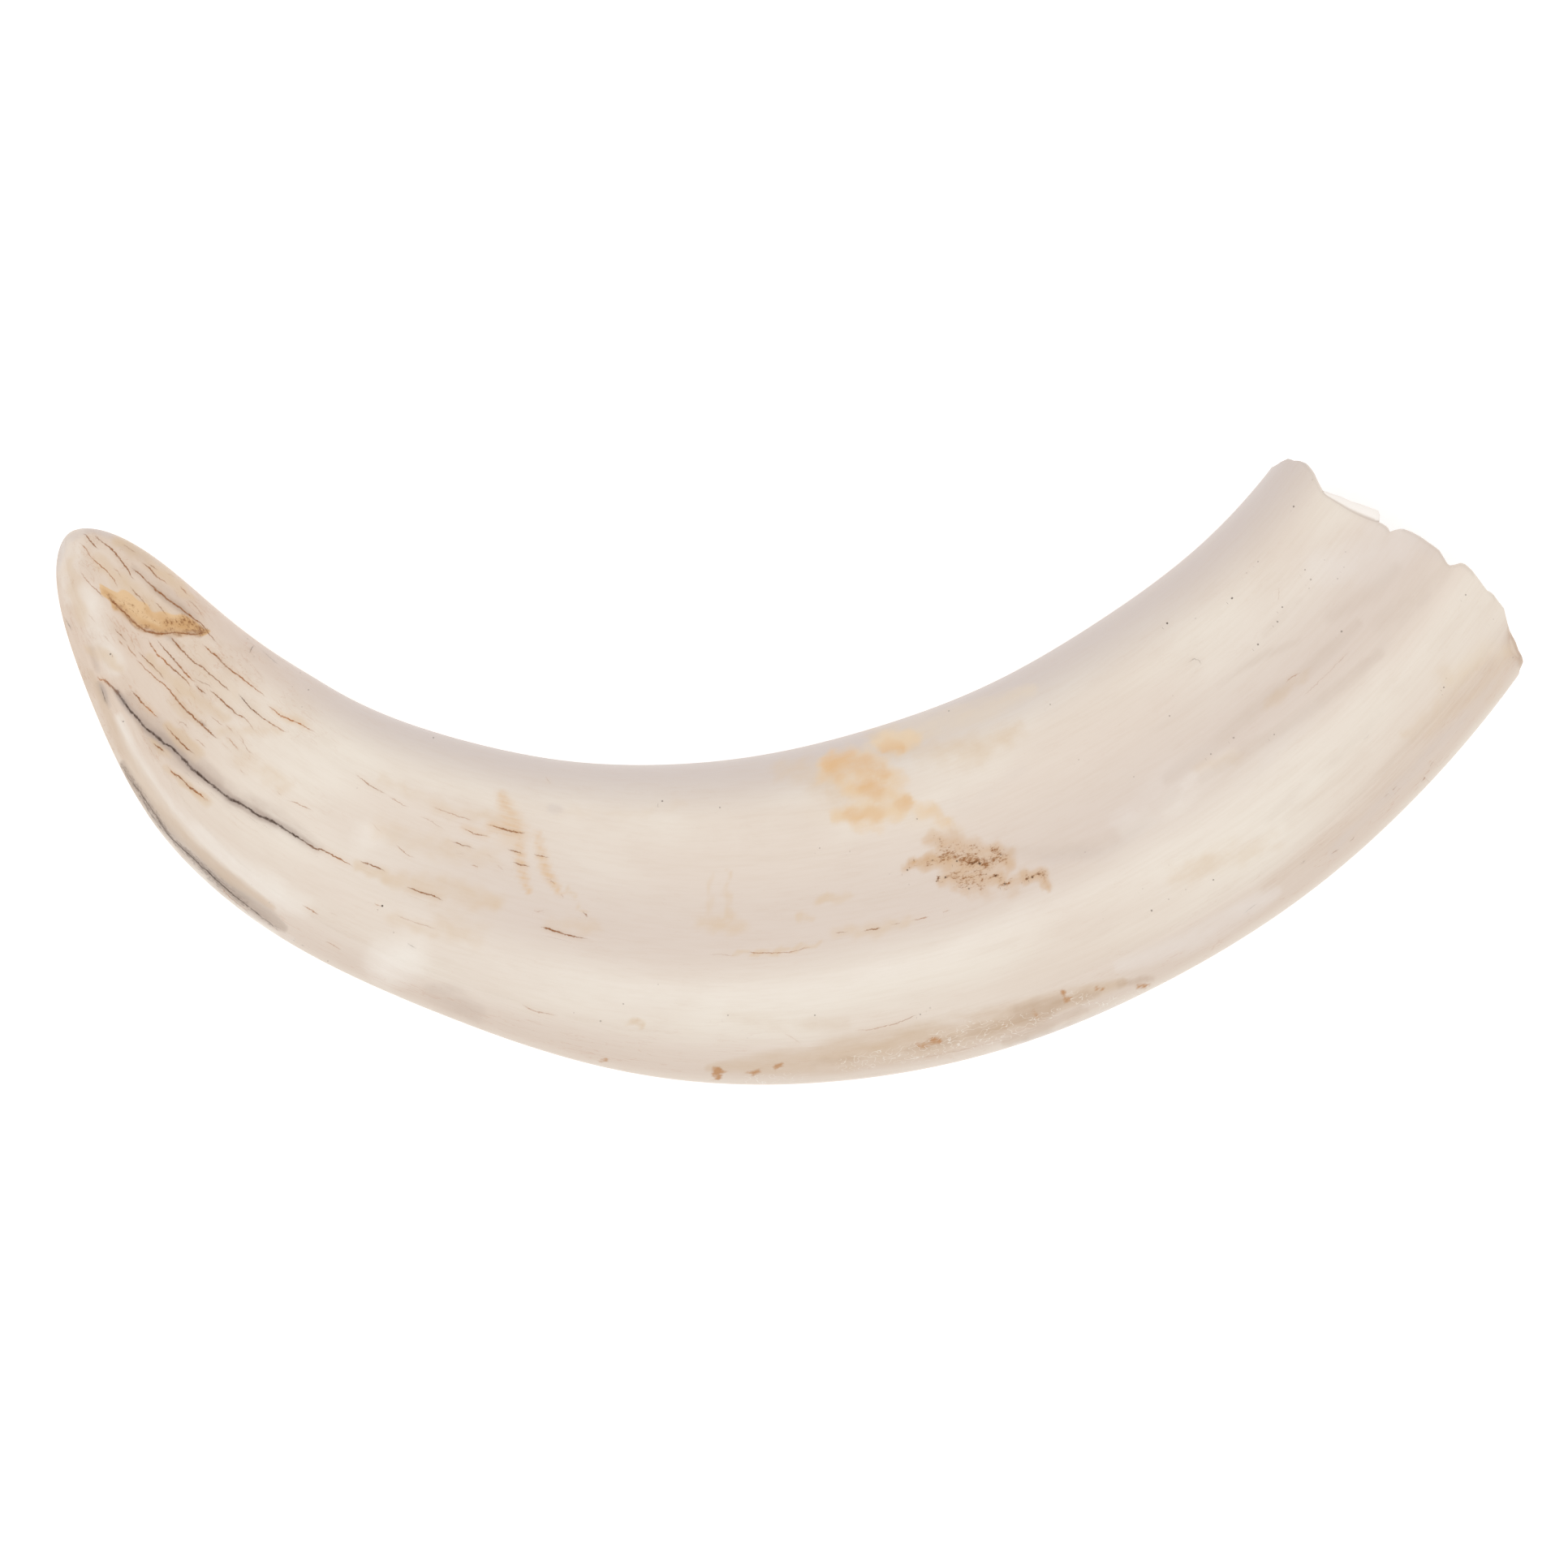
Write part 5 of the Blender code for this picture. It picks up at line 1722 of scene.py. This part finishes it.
        tusk.data.vertices.foreach_set("co", (points * METRES).ravel())
        tusk.data.update()
        return Skin(path, turn, along, across, height, points)

    def swell(self, points: np.ndarray, height: np.ndarray) -> np.ndarray:
        """Give how far the low forms of the upper side raise each vertex.

        Args:
            points: the vertices' places.
            height: their heights above the section's middle.

        Returns:
            How far each vertex rises.
        """
        seen = self.viewpoint.seen(points)
        total = np.zeros(len(points))
        for smear, rise in SWELLS:
            total += rise * smear.paint(seen)
        for stain in STAINS:
            if stain.rise:
                total += stain.rise * stain.paint(seen)
        return total * smooth_step(height, 0.0, self.swell_fade)

    def store(self, tusk: bpy.types.Object, name: str, *parts: np.ndarray) -> None:
        """Store a vector with every vertex, for the material to read."""
        attribute = tusk.data.attributes.new(name, "FLOAT_VECTOR", "POINT")
        attribute.data.foreach_set("vector", np.stack(parts, axis=-1).ravel())

    def layer_cracks(self) -> list[list[Crack]]:
        """Share the cracks out over layers in which no two come near each other.

        Returns:
            The layers, each a list of cracks.
        """
        layers: list[list[Crack]] = []
        for crack in CRACKS:
            for layer in layers:
                if all(self.apart(crack, other) for other in layer):
                    layer.append(crack)
                    break
            else:
                layers.append([crack])
        return layers

    def apart(self, first: Crack, second: Crack) -> bool:
        """Tell whether two cracks stay clear of each other's reach.

        Args:
            first: a crack.
            second: another crack.

        Returns:
            Whether no part of the first comes near the second.
        """
        share = np.linspace(0.0, len(first.points) - 1.0, 4 * len(first.points))
        steps = np.arange(len(first.points))
        points = np.array(first.points)
        dense = np.stack([np.interp(share, steps, points[:, axis]) for axis in (0, 1)], axis=-1)
        signed, run, whole = second.measure(dense)
        past = np.maximum(np.maximum(run - whole, -run), 0.0)
        clear = self.clearance * self.crack_reach + self.crack_slack
        return bool(np.hypot(signed, past).min() > clear)

    def mark(self, tusk: bpy.types.Object, skin: Skin) -> tuple[int, int]:
        """Store the zones, stains, cracks and specks of the surface.

        Args:
            tusk: the sculpted tusk.
            skin: its vertices.

        Returns:
            The number of crack layers and of speck layers.
        """
        seen = self.viewpoint.seen(skin.points)
        end = self.form.length
        near, far = self.hollow_fade
        outside = smooth_step(-skin.path, -end - far, -end - near)
        upper = smooth_step(skin.height, *self.upper_fade) * outside
        self.store(tusk, "straight", skin.along, skin.across, skin.height)
        self.store_zones(tusk, skin, outside)
        self.store_stains(tusk, seen, upper)
        return self.store_cracks(tusk, seen, upper), self.store_specks(tusk, seen, upper)

    def store_zones(self, tusk: bpy.types.Object, skin: Skin, outside: np.ndarray) -> None:
        """Store how much each vertex is in the furrow, on an edge, at the tip or on the break. The
        edge masks place painted shade, and the furrow mask partly does.

        Args:
            tusk: the sculpted tusk.
            skin: its vertices.
            outside: how much each vertex is outside the hollow, 0 to 1.
        """
        form = self.form
        half_breadth, half_depth = form.half_sizes(skin.along)
        share = skin.across / (half_breadth * form.nose_share(np.maximum(skin.along, 1.0)))
        # The furrow mask places the furrow's own warmer colour and painted shade of the groove.
        furrow = form.furrow(skin.along, skin.across, half_breadth)
        lift = np.abs(skin.height) / half_depth
        furrow = furrow * smooth_step(lift, *self.furrow_lift) * outside
        furrow = furrow * smooth_step(skin.along, *self.furrow_fade)
        # Painted shade mask along the inner edge.
        inner_edge_shade = smooth_step(share, *self.inner_shade_fade) * outside
        tip = (1.0 - smooth_step(skin.along, *self.tip_fade)) * outside
        worn = smooth_step(skin.along, *self.worn_fade)
        tip = tip * (self.worn_share + (1.0 - self.worn_share) * worn)
        self.store(tusk, "zones", furrow, inner_edge_shade, tip)
        # Painted shade mask along the outer edge, lighter again at the very rim.
        outer_edge_shade = smooth_step(-share, *self.outer_shade_fade)
        outer_edge_shade = outer_edge_shade * smooth_step(skin.along, *self.outer_shade_start)
        turned = smooth_step(-share, self.outer_shade_fade[1], 1.0)
        outer_edge_shade = outer_edge_shade * (1.0 - self.outer_shade_drop * turned) * outside
        ledge = smooth_step(form.ledge_reach(skin.turn), *self.fresh_fade)
        fresh = form.broken_share(skin.path) * ledge
        self.store(tusk, "places", 1.0 - outside, outer_edge_shade, fresh)

    def store_stains(self, tusk: bpy.types.Object, seen: np.ndarray, upper: np.ndarray) -> None:
        """Store how strong each stain is, three stains to a vector.

        Args:
            tusk: the sculpted tusk.
            seen: the plan position where the camera sees each vertex.
            upper: how much each vertex is on the upper side, 0 to 1.
        """
        painted = [stain.paint(seen) * upper for stain in STAINS]
        while len(painted) % VECTOR_SIZE:
            painted.append(np.zeros(len(seen)))
        for number, start in enumerate(range(0, len(painted), VECTOR_SIZE)):
            self.store(tusk, f"stains_{number}", *painted[start : start + VECTOR_SIZE])
        LOG.info("%d stains: %s", len(STAINS), ", ".join(stain.name for stain in STAINS))

    def store_cracks(self, tusk: bpy.types.Object, seen: np.ndarray, upper: np.ndarray) -> int:
        """Store the distance to the nearest crack, and its tone and strength.

        Args:
            tusk: the sculpted tusk.
            seen: the plan position where the camera sees each vertex.
            upper: how much each vertex is on the upper side, 0 to 1.

        Returns:
            The number of crack layers.
        """
        layers = self.layer_cracks()
        for number, layer in enumerate(layers):
            distance = np.full(len(seen), self.nowhere)
            tone = np.zeros(len(seen))
            strength = np.zeros(len(seen))
            for crack in layer:
                signed, its_tone, its_strength = crack.paint(seen, self.crack_reach)
                nearer = its_strength > strength
                distance = np.where(nearer, signed, distance)
                tone = np.where(nearer, its_tone, tone)
                strength = np.where(nearer, its_strength, strength)
            self.store(tusk, f"cracks_{number}", distance, tone, strength * upper)
        return len(layers)

    def layer_specks(self) -> list[list[Speck]]:
        """Share the specks out over layers in which they stand well apart.

        Returns:
            The layers, each a list of specks.
        """
        layers: list[list[Speck]] = []
        for speck in SPECKS:
            for layer in layers:
                gaps = [math.hypot(speck.x - one.x, speck.y - one.y) for one in layer]
                if min(gaps) > self.clearance * self.speck_reach:
                    layer.append(speck)
                    break
            else:
                layers.append([speck])
        return layers

    def store_specks(self, tusk: bpy.types.Object, seen: np.ndarray, upper: np.ndarray) -> int:
        """Store the way to the nearest speck, in speck radii, and how dark it is.

        Args:
            tusk: the sculpted tusk.
            seen: the plan position where the camera sees each vertex.
            upper: how much each vertex is on the upper side, 0 to 1.

        Returns:
            The number of speck layers.
        """
        layers = self.layer_specks()
        for number, layer in enumerate(layers):
            offset = np.full((len(seen), 2), self.nowhere)
            dark = np.zeros(len(seen))
            closest = np.full(len(seen), self.speck_reach)
            for speck in layer:
                away = seen - (speck.x, speck.y)
                gap = np.hypot(away[:, 0], away[:, 1])
                nearer = gap < closest
                closest = np.where(nearer, gap, closest)
                offset[nearer] = away[nearer] / speck.radius
                dark = np.where(nearer, speck.dark, dark)
            fade = smooth_step(closest, self.speck_fade, self.speck_reach)
            dark = dark * (1.0 - fade) * upper
            self.store(tusk, f"specks_{number}", offset[:, 0], offset[:, 1], dark)
        return len(layers)

    def build(self) -> bpy.types.Object:
        """Model the tusk and dress it.

        Returns:
            The finished tusk.
        """
        tusk = self.grow_cage()
        self.divide(tusk)
        skin = self.sculpt(tusk)
        crack_layers, speck_layers = self.mark(tusk, skin)
        tusk.data.attributes.remove(tusk.data.attributes["path"])
        tusk.data.materials.append(self.finish.build(crack_layers, speck_layers))
        bpy.ops.object.shade_smooth_by_angle(angle=math.radians(self.smooth_angle_deg))
        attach(tusk, "root")
        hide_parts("tusk")
        faces = len(tusk.data.polygons)
        LOG.info("%s: %d faces, %d and %d layers", tusk.name, faces, crack_layers, speck_layers)
        return tusk


@dataclass(frozen=True)
class Studio:
    """The pale floor and the soft light."""

    floor_size: float = 3.0
    floor_tint: Colour = (0.9, 0.9, 0.9, 1.0)
    floor_glow: float = 0.36
    floor_roughness: float = 0.9
    white: Colour = (1.0, 1.0, 1.0, 1.0)
    light_size: float = 0.9
    light_height: float = 1.5
    light_power: float = 6.6
    surround: float = 0.74

    def build_floor(self) -> bpy.types.Object:
        """Lay the floor.

        Returns:
            The floor's object.
        """
        bpy.ops.object.select_all(action="DESELECT")
        bpy.ops.mesh.primitive_plane_add(size=self.floor_size, location=(0.0, 0.0, 0.0))
        floor = bpy.context.object
        floor.name = "floor"
        shader = Shader("pale_floor")
        shader.surface.inputs["Base Color"].default_value = self.floor_tint
        shader.surface.inputs["Emission Color"].default_value = self.white
        shader.surface.inputs["Emission Strength"].default_value = self.floor_glow
        shader.surface.inputs["Roughness"].default_value = self.floor_roughness
        shader.surface.inputs["Specular IOR Level"].default_value = 0.0
        floor.data.materials.append(shader.material)
        return floor

    def build_light(self) -> bpy.types.Object:
        """Hang the soft light over the tusk.

        Returns:
            The light's object.
        """
        bpy.ops.object.light_add(type="AREA", location=(0.0, 0.0, self.light_height))
        light = bpy.context.object
        light.name = "overhead_softbox"
        light.data.shape = "SQUARE"
        light.data.size = self.light_size
        light.data.energy = self.light_power
        return light

    def build_surround(self) -> None:
        """Fill the room with even white light."""
        world = bpy.data.worlds.new("white_room")
        world.use_nodes = True
        background = world.node_tree.nodes["Background"]
        background.inputs["Color"].default_value = self.white
        background.inputs["Strength"].default_value = self.surround
        bpy.context.scene.world = world

    def build(self) -> None:
        """Set up the floor, the light and the room."""
        self.build_floor()
        self.build_light()
        self.build_surround()
        bpy.context.scene.view_settings.view_transform = "Standard"
        LOG.info("studio: floor, softbox and white room")


def main() -> None:
    """Load the frame, build the tusk on it and set up the studio."""
    logging.basicConfig(level=logging.INFO, format="%(name)s: %(message)s")
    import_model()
    tusk = Tusk()
    tusk.build()
    Studio().build()
    tusk.viewpoint.build()


if __name__ == "__main__":
    main()
